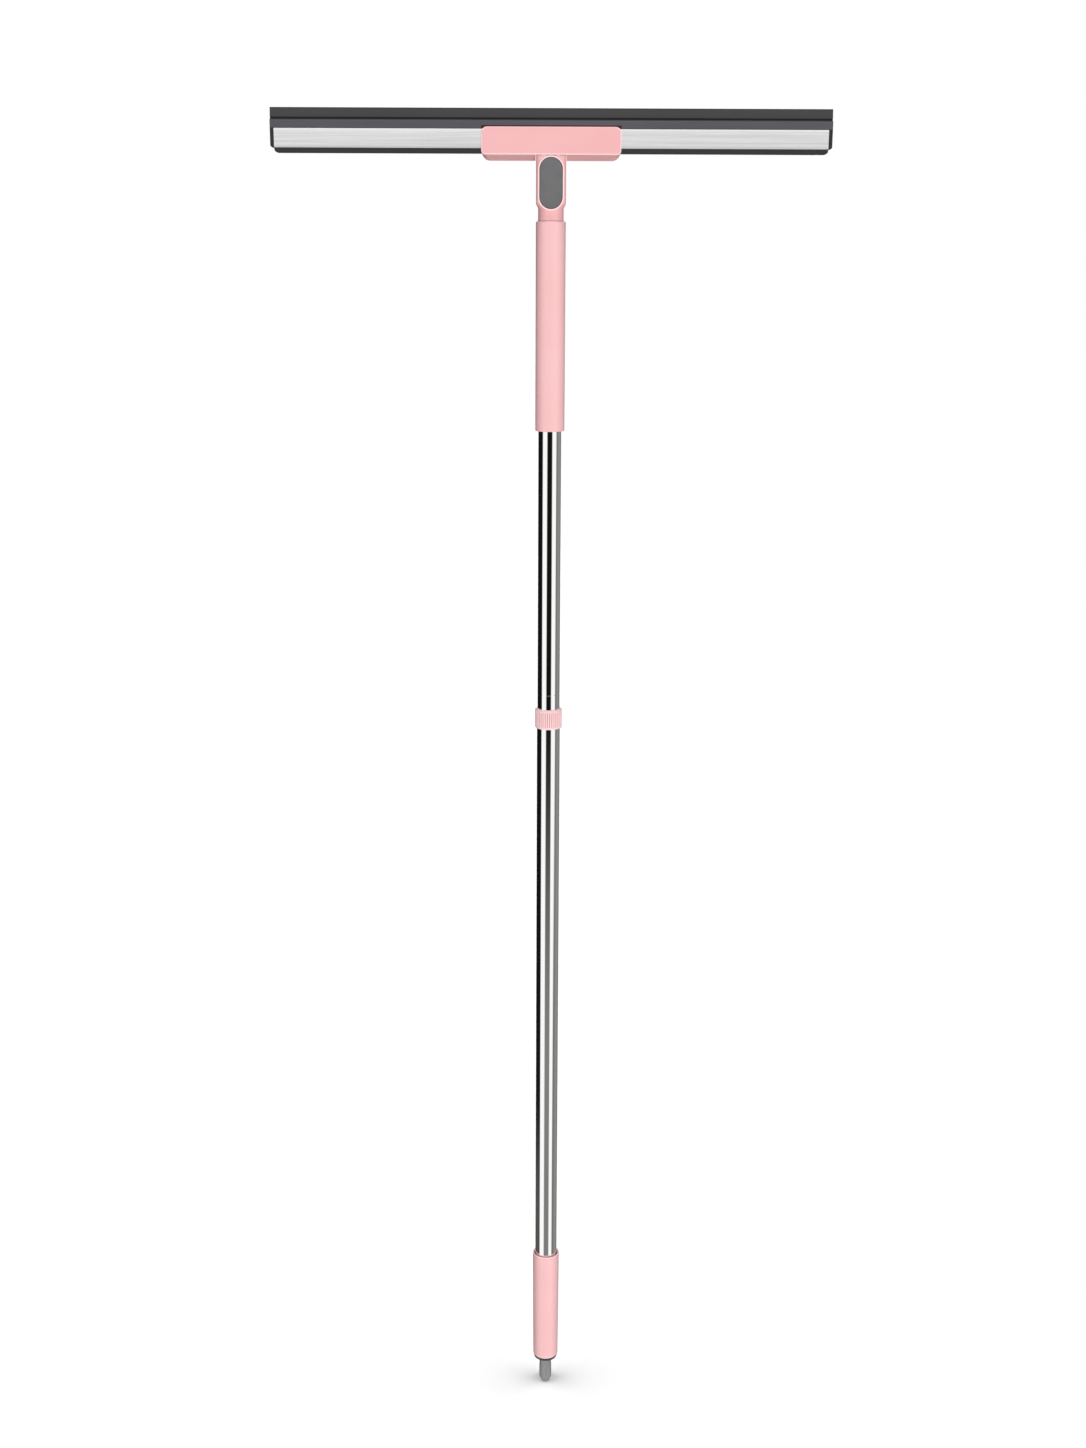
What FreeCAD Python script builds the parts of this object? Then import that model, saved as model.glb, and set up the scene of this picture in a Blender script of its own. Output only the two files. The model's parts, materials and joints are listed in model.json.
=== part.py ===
import FreeCAD, Part
import math
import os
from types import SimpleNamespace

import Sketcher
from FreeCAD import Placement, Rotation, Vector

# Long-handled window squeegee. Millimetres, +Z up the pole, -Y the side the button is on.
# The origin is the centre of the hanging hole in the cap at the lower end.

doc = FreeCAD.newDocument("window_squeegee")
sheet = doc.addObject("Spreadsheet::Sheet", "sizes")
places = doc.addObject("Spreadsheet::Sheet", "places")

DRIVING_SIZES = [
    # fits
    ("press_gap", 0.05, "between pieces that are glued, pressed or screwed together"),
    ("running_gap", 0.06, "between pieces that slide or turn on each other, on the radius"),
    ("part_gap", 0.3, "between moving pieces that must not rub"),
    ("tool_reach", 1, "cutting shapes run this far past the faces they open"),
    ("overlap", 0.5, "shapes that are joined to one solid reach this far into each other"),
    # hanging cap and lower grip
    ("tab_thickness", 12.8, "hanging tab, along the hole"),
    ("tab_width", 20, "hanging tab, across the hole"),
    ("tab_reach", 17.7, "from the hole's centre up to the cap's flange"),
    ("tab_edge_radius", 3.8, "hanging tab, round its lower half"),
    ("hang_hole_radius", 4.5, "hanging hole"),
    ("cap_flange_radius", 12.2, "flange below the lower grip"),
    ("cap_flange_height", 3, "flange below the lower grip"),
    ("cap_flange_edge_radius", 1.3, "flange below the lower grip"),
    ("cap_plug_height", 24, "plug inside the lower tube"),
    ("plug_wall", 2, "wall of the hollow plugs and the neck's spigot"),
    ("cross_pin_radius", 1.5, "pins through the tubes"),
    ("lower_grip_length", 121.8, "lower grip"),
    ("lower_grip_foot_radius", 13, "lower grip, at its lower end"),
    ("lower_grip_head_radius", 13.7, "lower grip, at its upper end"),
    ("grip_mouth_radius", 12.6, "flared mouth at the top of the lower grip"),
    ("grip_mouth_depth", 5, "flared mouth at the top of the lower grip"),
    ("grip_mouth_edge_radius", 0.4, "mouth of the lower grip"),
    # tubes
    ("lower_tube_radius", 11.15, "lower tube, outside"),
    ("upper_tube_radius", 10.7, "upper tube, outside"),
    ("tube_wall", 0.3, "both tubes"),
    ("lower_tube_length", 706.8, "lower tube, from the cap's flange"),
    ("upper_tube_length", 537.3, "upper tube"),
    ("tube_overlap", 70, "upper tube inside the lower one, fully drawn out"),
    ("stop_line_rise", 14.5, "stop line above the lock ring"),
    ("stop_line_width", 0.7, "rolled stop line"),
    ("stop_line_depth", 0.1, "rolled stop line"),
    # twist lock
    ("ring_height", 19, "lock ring"),
    ("ring_drop", 10, "lock ring's lower edge below the lower tube's end"),
    ("ring_radius", 13.1, "lock ring, over its ribs"),
    ("ring_chamfer", 0.6, "lock ring's ends, inwards"),
    ("ring_chamfer_height", 1, "lock ring's ends"),
    ("ring_bore_radius", 12, "lock ring, round the collet"),
    ("rib_depth", 0.45, "grooves between the lock ring's ribs"),
    ("rib_groove_radius", 0.63, "round grooves between the ribs"),
    ("rib_count", 36, "lock ring"),
    ("ring_lip_height", 1.6, "lip of the lock ring over the collet"),
    ("ring_lip_chamfer", 0.5, "lock ring's upper mouth"),
    ("bead_depth", 0.3, "snap bead of the collet in the lock ring"),
    ("bead_rise", 4, "snap bead above the collet's foot"),
    ("bead_width", 1.6, "snap bead"),
    ("finger_slot_width", 1.2, "slots between the collet's four fingers"),
    # guide in the upper tube's lower end
    ("guide_height", 12, "guide ring"),
    ("guide_core_radius", 8.6, "groove the guide ring turns in"),
    ("plug_shoulder_height", 2, "shoulders above and below the guide ring"),
    ("end_plug_height", 24, "plug inside the upper tube"),
    ("end_plug_chamfer", 0.6, "lower end of the plug"),
    ("guide_chamfer", 0.5, "guide ring's ends, inwards"),
    ("guide_chamfer_height", 0.8, "guide ring's ends"),
    # upper grip
    ("upper_grip_length", 189.8, "upper grip"),
    ("upper_grip_radius", 13.65, "upper grip"),
    ("grip_edge_radius", 1.5, "rounded ends of both grips"),
    # neck
    ("spigot_height", 32, "neck's spigot inside the upper tube"),
    ("neck_round_radius", 11.65, "round foot of the neck"),
    ("neck_round_height", 11.2, "round foot of the neck"),
    ("neck_blend_height", 3.6, "from the round foot to the square neck"),
    ("neck_width", 27.2, "square neck"),
    ("neck_front", 13.6, "square neck's front, before the pole's axis"),
    ("neck_room", 1.7, "square neck's top below the lower trim"),
    ("neck_corner_radius", 4.5, "square neck's long edges"),
    ("neck_front_wall", 2.4, "wall behind the bezel"),
    ("ear_width", 5.3, "each of the two ears on the hinge pin"),
    ("ear_radius", 6, "ears round the hinge pin"),
    ("rear_cover_width", 19, "plate that closes the neck's back"),
    ("rear_cover_lap", 2, "plate beyond the opening, above and below"),
    ("rear_cover_thickness", 2.4, "plate that closes the neck's back"),
    ("rear_cover_corner_radius", 1.9, "plate that closes the neck's back"),
    ("opening_rise", 16.65, "neck's back opening, above the brake slider's foot"),
    # hinge
    ("pin_rise", 63.2, "hinge pin above the neck's foot"),
    ("hinge_room", 0.5, "between the channel's back and the ears"),
    ("pin_radius", 2, "hinge pin"),
    ("pin_end", 0.6, "hinge pin beyond its clips"),
    ("lug_width", 10, "each of the bracket's two lugs on the hinge pin"),
    ("washer_thickness", 0.5, "hinge washers"),
    ("washer_radius", 4.6, "hinge washers"),
    ("clip_thickness", 0.8, "push-on clips at the hinge pin's ends"),
    ("clip_radius", 4, "push-on clips at the hinge pin's ends"),
    ("drum_radius", 5, "brake drum"),
    # button and brake
    ("button_width", 21, "oval button"),
    ("button_height", 45, "oval button"),
    ("button_rise", 32.5, "button's centre above the neck's foot"),
    ("button_travel", 2.5, "button, and the brake slider that it moves"),
    ("button_proud", 0.2, "button's face before the bezel"),
    ("button_edge_radius", 1.05, "button's face"),
    ("bezel_width", 1.3, "raised rim round the button"),
    ("bezel_proud", 0.6, "raised rim before the neck's front"),
    ("button_flange", 0.5, "rim that keeps the button in"),
    ("button_flange_height", 1.5, "rim that keeps the button in"),
    ("wedge_width", 5, "wedge on the button's back"),
    ("wedge_height", 7, "wedge on the button's back"),
    ("wedge_run", 4, "sloping part of the wedge"),
    ("wedge_bite", 2, "wedge's end inside the slider's front"),
    ("wedge_rise", 15.1, "wedge's upper side above the slider's foot"),
    ("slider_width", 10, "brake slider"),
    ("slider_depth", 7, "brake slider"),
    ("slider_height", 22.2, "brake slider"),
    ("slider_edge_radius", 0.6, "brake slider's upright edges"),
    ("pad_crown", 3, "brake pad, from the slider to the drum"),
    ("spring_radius", 2.8, "brake spring, at its wire's centre"),
    ("spring_wire_radius", 0.4, "brake spring"),
    ("spring_length", 14, "brake spring, at rest"),
    ("spring_turns", 6, "brake spring"),
    # screws
    ("screw_radius", 1.25, "bracket screws' shanks"),
    ("screw_head_radius", 2.6, "bracket screws' heads"),
    ("screw_head_height", 1.6, "bracket screws' heads"),
    ("screw_tip", 2, "bracket screws' tips behind the channel's face"),
    ("screw_hole_room", 0.4, "round the screws in the channel"),
    ("cross_width", 0.3, "screws' cross, as a share of the head's radius"),
    ("cross_length", 1.24, "screws' cross, as a share of the head's radius"),
    ("cross_depth", 0.55, "screws' cross, as a share of the head's height"),
    ("small_screw_radius", 1, "rear cover screws' shanks"),
    ("small_screw_head_radius", 1.9, "rear cover screws' heads"),
    ("small_screw_head_height", 1.2, "rear cover screws' heads"),
    ("small_screw_length", 8, "rear cover screws, below their heads"),
    ("small_screw_place", 7.2, "rear cover screws, from the middle"),
    ("small_screw_inset", 0.6, "rear cover screws' heads from the plate's edge"),
    ("boss_radius", 2.3, "front cover's screw bosses"),
    ("housing_boss_radius", 3.4, "rear housing's screw bosses"),
    ("outer_screw_place", 54, "outer bracket screws, from the middle"),
    ("inner_screw_place", 34, "inner bracket screws, from the middle"),
    # blade channel
    ("channel_length", 498, "aluminium channel and lower trim"),
    ("channel_height", 16.6, "aluminium channel"),
    ("channel_depth", 10, "aluminium channel, front to back"),
    ("channel_front", 12, "aluminium channel's face, before the pole's axis"),
    ("channel_drop", 0.8, "channel's lower edge below the hinge pin's axis"),
    ("channel_wall", 1.2, "aluminium channel"),
    ("channel_web", 1, "channel's two webs and its lips"),
    ("channel_edge_radius", 0.84, "channel's lower front edge"),
    ("lip_reach", 1.8, "channel's lips, inwards from its walls"),
    ("trim_cavity", 3.4, "channel's lower slot"),
    ("blade_cavity", 4, "channel's upper slot"),
    ("end_cap_thickness", 3.5, "end caps"),
    ("end_cap_plug", 8, "end caps' plugs inside the channel"),
    ("end_cap_edge_radius", 1.2, "end caps' outer edges"),
    ("trim_height", 4.3, "lower trim below the channel"),
    ("trim_inset", 1, "lower trim behind the channel's face"),
    ("trim_corner_radius", 3, "lower trim's lower corners"),
    # blade
    ("carrier_height", 8, "blade carrier above the channel"),
    ("carrier_inset", 0.5, "blade carrier behind the channel's face"),
    ("carrier_taper", 1.3, "blade carrier's top narrower than its foot, each side"),
    ("blade_groove", 5, "blade's root inside the carrier"),
    ("root_thickness", 2.4, "blade's root"),
    ("crease_height", 1.3, "narrow stretch between the carrier and the lip"),
    ("lip_height", 8.8, "blade's lip"),
    ("lip_thickness", 3.6, "blade's lip at its foot"),
    ("lip_edge_thickness", 1.8, "blade's lip at its edge"),
    ("lip_step", 0.4, "sloping foot of the lip"),
    ("lip_straight", 3.08, "lip's straight part, with its foot"),
    ("blade_corner_radius", 1.08, "blade's two upper corners"),
    # bracket
    ("bracket_width", 126, "bracket"),
    ("bracket_front", 14, "bracket's face, before the pole's axis"),
    ("hinge_cover_depth", 8.5, "bracket's back behind the hinge pin's axis"),
    ("bracket_sill", 1.1, "bracket's face below the lower trim"),
    ("bracket_lap", 1.9, "bracket's face above the channel"),
    ("bracket_slope", 3.8, "fall of the bracket's underside from front to back"),
    ("housing_step", 2.8, "rear housing's top below the channel's top"),
    ("housing_wall", 2, "rear housing"),
    ("housing_shoulder", 2.5, "sloping edge at the rear housing's top"),
    ("face_corner_radius", 5.5, "upper corners of the bracket"),
    ("face_foot_corner_radius", 3.2, "lower corners of the bracket's face"),
    ("foot_corner_radius", 7.5, "lower corners of the bracket, behind its face"),
    ("bracket_edge_radius", 0.9, "edges of the bracket's face"),
]


class Dimension:
    """A length tied to the sheets: its formula, and the value the formula has now."""

    def __init__(self, formula, value):
        self.formula = formula
        self.value = value

    def joined(self, sign, other, value):
        return Dimension("(%s %s %s)" % (self.formula, sign, dimension(other).formula), value)

    def __add__(self, other):
        return self.joined("+", other, self.value + dimension(other).value)

    def __sub__(self, other):
        return self.joined("-", other, self.value - dimension(other).value)

    def __mul__(self, other):
        return self.joined("*", other, self.value * dimension(other).value)

    def __truediv__(self, other):
        return self.joined("/", other, self.value / dimension(other).value)

    def __neg__(self):
        return Dimension("(-1 * %s)" % self.formula, -self.value)

    def __radd__(self, other):
        return dimension(other) + self

    def __rsub__(self, other):
        return dimension(other) - self


def dimension(amount):
    return amount if isinstance(amount, Dimension) else Dimension(repr(amount), amount)


size = SimpleNamespace()
for row, (alias, value, note) in enumerate(DRIVING_SIZES, start=1):
    sheet.set("A%d" % row, note)
    sheet.set("B%d" % row, str(value))
    sheet.setAlias("B%d" % row, alias)
    setattr(size, alias, Dimension("sizes." + alias, value))

at = SimpleNamespace()


def place(alias, amount):
    """Keep a worked-out place in the second sheet, under a name of its own."""
    row = len(vars(at)) + 1
    places.set("A%d" % row, alias)
    places.set("B%d" % row, "=" + amount.formula)
    places.setAlias("B%d" % row, alias)
    setattr(at, alias, Dimension("places." + alias, amount.value))


# ---- places along the pole, from the hanging hole up
place("flange_foot", size.tab_reach + 0)
place("tube_foot", at.flange_foot + size.cap_flange_height)
place("lower_pin_height", at.tube_foot + size.cap_plug_height / 2)
place("lower_grip_head", at.tube_foot + size.lower_grip_length)
place("lower_tube_head", at.tube_foot + size.lower_tube_length)
place("lower_bore", size.lower_tube_radius - size.tube_wall)
place("upper_bore", size.upper_tube_radius - size.tube_wall)
place("ring_foot", at.lower_tube_head - size.ring_drop)
place("ring_head", at.ring_foot + size.ring_height)
place("collet_radius", size.ring_bore_radius - size.running_gap)
place("collet_head", at.ring_head - size.ring_lip_height - size.part_gap)
place("upper_tube_foot", at.lower_tube_head - size.tube_overlap)
place("neck_foot", at.upper_tube_foot + size.upper_tube_length)
place("upper_pin_height", at.neck_foot - size.spigot_height / 2)
place("stop_line", at.ring_head + size.stop_line_rise)
place("upper_grip_foot", at.neck_foot - size.upper_grip_length)
# ---- head, from the hinge pin up
place("pin_height", at.neck_foot + size.pin_rise)
place("channel_back", size.channel_depth - size.channel_front)
place("channel_foot", at.pin_height - size.channel_drop)
place("channel_head", at.channel_foot + size.channel_height)
place("channel_middle", (size.channel_depth / 2) - size.channel_front)
place("lower_web", at.channel_foot + size.channel_web + size.trim_cavity)
place("upper_web", at.channel_head - size.channel_web - size.blade_cavity)
place("screw_height", (at.lower_web + at.upper_web) / 2)
place("slot_half", size.channel_depth / 2 - size.channel_wall - size.lip_reach)
place("cavity_half", size.channel_depth / 2 - size.channel_wall)
place("trim_foot", at.channel_foot - size.trim_height)
place("carrier_head", at.channel_head + size.carrier_height)
place("lip_foot", at.carrier_head + size.crease_height)
place("blade_head", at.lip_foot + size.lip_height)
place("blade_half_length", size.channel_length / 2 + size.end_cap_thickness)
place("pin_back", at.channel_back + size.hinge_room + size.ear_radius)
place("bracket_back", at.pin_back + size.hinge_cover_depth)
place("bracket_depth", size.bracket_front + at.bracket_back)
place("bracket_foot", at.trim_foot - size.bracket_sill)
place("bracket_head", at.channel_head + size.bracket_lap)
place("housing_head", at.channel_head - size.housing_step)
# ---- neck, button and brake
place("neck_square", at.neck_foot + size.neck_round_height + size.neck_blend_height)
place("neck_head", at.trim_foot - size.neck_room)
place("neck_side", size.neck_width / 2)
place("neck_back", at.pin_back + size.ear_radius)
place("fork_side", at.neck_side - size.ear_width)
place("lug_inner", at.neck_side + size.washer_thickness + size.press_gap + size.running_gap)
place("lug_outer", at.lug_inner + size.lug_width)
place("button_centre", at.neck_foot + size.button_rise)
place("button_straight", (size.button_height - size.button_width) / 2)
place("wall_back", -size.neck_front + size.neck_front_wall)
place("flange_front", at.wall_back + size.press_gap)
place("flange_back", at.flange_front + size.button_flange_height)
place("flange_room", at.flange_back + size.button_travel + size.part_gap)
place("slider_front", at.pin_back - size.slider_depth / 2)
place("slider_back", at.pin_back + size.slider_depth / 2)
place("slider_head", at.pin_height - size.drum_radius - size.pad_crown)
place("slider_foot", at.slider_head - size.slider_height)
place("spring_foot", at.slider_foot - size.spring_length)
place("wedge_tip", at.slider_front + size.wedge_bite)
place("wedge_head", at.slider_foot + size.wedge_rise)
place("wedge_foot", at.wedge_head - size.wedge_height)
place("opening_head", at.slider_foot + size.opening_rise)
place("cover_foot", at.spring_foot - size.rear_cover_lap)
place("cover_head", at.opening_head + size.rear_cover_lap)


def underside(depth):
    """Height of the bracket's sloping underside at a depth behind the pole's axis."""
    return at.bracket_foot - size.bracket_slope * ((depth + size.bracket_front) / at.bracket_depth)


# ---- ways of making solids
def bind(thing, setting, amount):
    thing.setExpression(setting, dimension(amount).formula)


def box(low, high, name="Block"):
    """A block between two opposite corners."""
    block = doc.addObject("Part::Box", name)
    for setting, near, far in zip(("Length", "Width", "Height"), low, high):
        bind(block, setting, dimension(far) - near)
    for axis, near in zip("xyz", low):
        bind(block, "Placement.Base." + axis, near)
    return block


ALONG = {"x": Rotation(Vector(0, 1, 0), 90), "y": Rotation(Vector(1, 0, 0), -90), "z": Rotation()}


def rod(axis, centre, start, end, radius, name="Rod"):
    """A cylinder along one axis; centre gives its two other coordinates in x, y, z order."""
    cylinder = doc.addObject("Part::Cylinder", name)
    bind(cylinder, "Radius", radius)
    bind(cylinder, "Height", dimension(end) - start)
    cylinder.Placement = Placement(Vector(), ALONG[axis])
    corner = list(centre)
    corner.insert("xyz".index(axis), start)
    for letter, amount in zip("xyz", corner):
        bind(cylinder, "Placement.Base." + letter, amount)
    return cylinder


def fuse(*solids):
    joined = doc.addObject("Part::MultiFuse", "Fuse")
    joined.Shapes = list(solids)
    joined.Refine = True
    return joined


def cut(base, *tools):
    """Take each tool away from the base, in turn."""
    for tool in tools:
        result = doc.addObject("Part::Cut", "Cut")
        result.Base = base
        result.Tool = tool
        result.Refine = True
        base = result
    return base


def group(*solids):
    """Several separate solids as one piece of the parts list."""
    together = doc.addObject("Part::Compound", "Group")
    together.Links = list(solids)
    return together


def rounded(base, radius, wanted, front_radius=None):
    """Round the edges that satisfy a test; the radius may be another one at their front ends."""
    doc.recompute()
    fillet = doc.addObject("Part::Fillet", "Rounding")
    fillet.Base = base
    edges = []
    for index, edge in enumerate(base.Shape.Edges, start=1):
        middle = edge.valueAt((edge.FirstParameter + edge.LastParameter) / 2)
        if wanted(edge, middle):
            start = end = radius.value
            if front_radius and edge.firstVertex().Y < edge.lastVertex().Y:
                start = front_radius.value
            elif front_radius:
                end = front_radius.value
            edges.append((index, start, end))
    fillet.Edges = edges
    return fillet


def along(edge, letter):
    """True for a straight edge that runs along the named axis."""
    if edge.Curve.TypeId != "Part::GeomLine":
        return False
    direction = edge.tangentAt(edge.FirstParameter)
    return abs(abs(getattr(direction, letter)) - 1) < 1e-6


def near(amount, wanted):
    return abs(amount - dimension(wanted).value) < 1e-3


# ---- PartDesign bodies with sketches
def newBody(name):
    return doc.addObject("PartDesign::Body", name)


def newSketch(body, role, offset=None):
    """A sketch on one of the body's own planes, or parallel to it."""
    sketch = body.newObject("Sketcher::SketchObject", "Sketch")
    plane = [feature for feature in body.Origin.OriginFeatures if feature.Role == role][0]
    sketch.AttachmentSupport = [(plane, "")]
    sketch.MapMode = "FlatFace"
    if offset is not None:
        bind(sketch, "AttachmentOffset.Base.z", offset)
    return sketch


def pinPoint(sketch, shape, end, across, up):
    """Tie one point of a sketch to its two coordinates, each a dimension or 0."""
    for kind, amount, axis in (("DistanceX", across, -2), ("DistanceY", up, -1)):
        if isinstance(amount, Dimension):
            constraint = Sketcher.Constraint(kind, -1, 1, shape, end, amount.value)
            index = sketch.addConstraint(constraint)
            sketch.setExpression("Constraints[%d]" % index, amount.formula)
        else:
            sketch.addConstraint(Sketcher.Constraint("PointOnObject", shape, end, axis))


def drawLoop(sketch, corners):
    """A closed outline of straight lines through the corners."""
    points = [Vector(dimension(across).value, dimension(up).value, 0) for across, up in corners]
    first = sketch.GeometryCount
    for start, end in zip(points, points[1:] + points[:1]):
        sketch.addGeometry(Part.LineSegment(start, end), False)
    for step in range(len(points)):
        following = first + (step + 1) % len(points)
        sketch.addConstraint(Sketcher.Constraint("Coincident", first + step, 2, following, 1))
    for step, (across, up) in enumerate(corners):
        pinPoint(sketch, first + step, 1, across, up)


def drawCircle(sketch, across, up, radius):
    centre = Vector(dimension(across).value, dimension(up).value, 0)
    index = sketch.addGeometry(Part.Circle(centre, Vector(0, 0, 1), radius.value), False)
    constraint = sketch.addConstraint(Sketcher.Constraint("Radius", index, radius.value))
    sketch.setExpression("Constraints[%d]" % constraint, radius.formula)
    pinPoint(sketch, index, 3, across, up)


def drawOval(sketch, middle, half_width, straight):
    """An upright oval: two half circles joined by straight sides, centred across."""
    top = Vector(0, middle.value + straight.value, 0)
    bottom = Vector(0, middle.value - straight.value, 0)
    half = half_width.value
    normal = Vector(0, 0, 1)
    sketch.addGeometry(Part.ArcOfCircle(Part.Circle(top, normal, half), 0, math.pi), False)
    sketch.addGeometry(Part.LineSegment(top + Vector(-half, 0, 0), bottom + Vector(-half, 0, 0)), False)
    sketch.addGeometry(Part.ArcOfCircle(Part.Circle(bottom, normal, half), math.pi, math.tau), False)
    sketch.addGeometry(Part.LineSegment(bottom + Vector(half, 0, 0), top + Vector(half, 0, 0)), False)
    for first, end, second, start in ((0, 2, 1, 1), (1, 2, 2, 1), (2, 2, 3, 1), (3, 2, 0, 1)):
        sketch.addConstraint(Sketcher.Constraint("Tangent", first, end, second, start))
    constraint = sketch.addConstraint(Sketcher.Constraint("Radius", 0, half))
    sketch.setExpression("Constraints[%d]" % constraint, half_width.formula)
    pinPoint(sketch, 0, 3, 0, middle + straight)
    pinPoint(sketch, 2, 3, 0, middle - straight)


def pad(body, sketch, length, symmetric=False, reverse=False):
    feature = body.newObject("PartDesign::Pad", "Pad")
    feature.Profile = sketch
    feature.SideType = "Symmetric" if symmetric else "One side"
    feature.Reversed = reverse
    bind(feature, "Length", length)
    return feature


def bar(name, corners, length, inside=None):
    """A straight extrusion along X, centred, from its section in the YZ plane."""
    body = newBody(name)
    sketch = newSketch(body, "YZ_Plane")
    drawLoop(sketch, corners)
    if inside:
        drawLoop(sketch, inside)
    pad(body, sketch, length, symmetric=True)
    return body


def turned(name, corners):
    """A piece turned about the pole's axis, from its half section in the XZ plane."""
    body = newBody(name)
    sketch = newSketch(body, "XZ_Plane")
    drawLoop(sketch, corners)
    feature = body.newObject("PartDesign::Revolution", "Turn")
    feature.Profile = sketch
    feature.ReferenceAxis = (sketch, ["V_Axis"])
    feature.Angle = 360
    return body


def oval(name, front, back, half_width, straight):
    """An upright oval block between two depths, centred on the button."""
    body = newBody(name)
    sketch = newSketch(body, "XZ_Plane", offset=-front)
    drawOval(sketch, at.button_centre, half_width, straight)
    pad(body, sketch, back - front, reverse=True)
    return body


def screw(across, up, head_face, tip, shank_radius, head_radius, head_height):
    """A screw driven in from behind: its head at the back, with a cross in it."""
    head_seat = head_face - head_height
    head = rod("y", (across, up), head_seat, head_face, head_radius)
    shank = rod("y", (across, up), tip, head_seat, shank_radius)
    half, reach = head_radius * size.cross_width / 2, head_radius * size.cross_length / 2
    floor = head_face - head_height * size.cross_depth
    mouth = head_face + size.tool_reach
    upright = box((across - half, floor, up - reach), (across + half, mouth, up + reach))
    level = box((across - reach, floor, up - half), (across + reach, mouth, up + half))
    return cut(fuse(head, shank), upright, level)


# ---- lower end: cap, tube, grip
def hangerCap():
    half = size.tab_thickness / 2
    eye = rod("x", (0, 0), -half, half, size.tab_width / 2)
    stem = box((-half, -size.tab_width / 2, 0), (half, size.tab_width / 2, at.flange_foot + size.overlap))
    tab = rounded(fuse(eye, stem), size.tab_edge_radius, lambda edge, middle: (
        near(abs(middle.x), half) and middle.z < 0))
    flange = rod("z", (0, 0), at.flange_foot, at.tube_foot, size.cap_flange_radius)
    flange = rounded(flange, size.cap_flange_edge_radius, lambda edge, middle: (
        near(middle.z, at.flange_foot) and edge.Curve.TypeId == "Part::GeomCircle"))
    plug_radius = at.lower_bore - size.press_gap
    plug_head = at.tube_foot + size.cap_plug_height
    plug = rod("z", (0, 0), at.tube_foot - size.overlap, plug_head, plug_radius)
    hollow = rod("z", (0, 0), at.tube_foot + size.tool_reach, plug_head + size.tool_reach,
                 plug_radius - size.plug_wall)
    hole = rod("x", (0, 0), -half - size.tool_reach, half + size.tool_reach, size.hang_hole_radius)
    pin_room = crossPinRoom(size.lower_tube_radius, at.lower_pin_height)
    return cut(fuse(tab, flange, plug), hollow, hole, pin_room)


def crossPinRoom(tube_radius, height):
    reach = tube_radius + size.tool_reach
    return rod("y", (0, height), -reach, reach, size.cross_pin_radius + size.press_gap)


def crossPin(tube_radius, height):
    reach = tube_radius - size.part_gap
    return rod("y", (0, height), -reach, reach, size.cross_pin_radius)


def lowerTube():
    outside = rod("z", (0, 0), at.tube_foot, at.lower_tube_head, size.lower_tube_radius)
    bore = rod("z", (0, 0), at.tube_foot - size.tool_reach, at.lower_tube_head + size.tool_reach,
               at.lower_bore)
    return cut(outside, bore, crossPinRoom(size.lower_tube_radius, at.lower_pin_height))


def rimEdges(base, radius, away, height):
    """Round the ring-shaped edge of a turned piece at one distance from the axis and one height."""
    return rounded(base, radius, lambda edge, middle: (
        near(middle.z, height) and near(math.hypot(middle.x, middle.y), away)))


def lowerGrip():
    bore = size.lower_tube_radius + size.press_gap
    foot, head = at.tube_foot, at.lower_grip_head
    body = turned("LowerGrip", [
        (bore, foot),
        (size.lower_grip_foot_radius, foot),
        (size.lower_grip_head_radius, head),
        (size.grip_mouth_radius, head),
        (bore, head - size.grip_mouth_depth),
    ])
    body = rimEdges(body, size.grip_edge_radius, size.lower_grip_foot_radius, foot)
    return rimEdges(body, size.grip_mouth_edge_radius, size.lower_grip_head_radius, head)


# ---- twist lock
def lockCollet():
    skirt = size.lower_tube_radius + size.press_gap
    bore = size.upper_tube_radius + size.running_gap
    foot = at.ring_foot + size.part_gap
    bead = foot + size.bead_rise
    tip = at.collet_radius + size.bead_depth
    body = turned("LockCollet", [
        (skirt, foot),
        (at.collet_radius, foot),
        (at.collet_radius, bead),
        (tip, bead + size.bead_width / 3),
        (tip, bead + size.bead_width * 2 / 3),
        (at.collet_radius, bead + size.bead_width),
        (at.collet_radius, at.collet_head),
        (bore, at.collet_head),
        (bore, at.lower_tube_head + size.press_gap),
        (skirt, at.lower_tube_head + size.press_gap),
    ])
    half = size.finger_slot_width / 2
    floor = at.lower_tube_head + size.tool_reach
    wide = size.ring_radius
    first = box((-half, -wide, floor), (half, wide, at.ring_head))
    second = box((-wide, -half, floor), (wide, half, at.ring_head))
    return cut(body, first, second)


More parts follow.
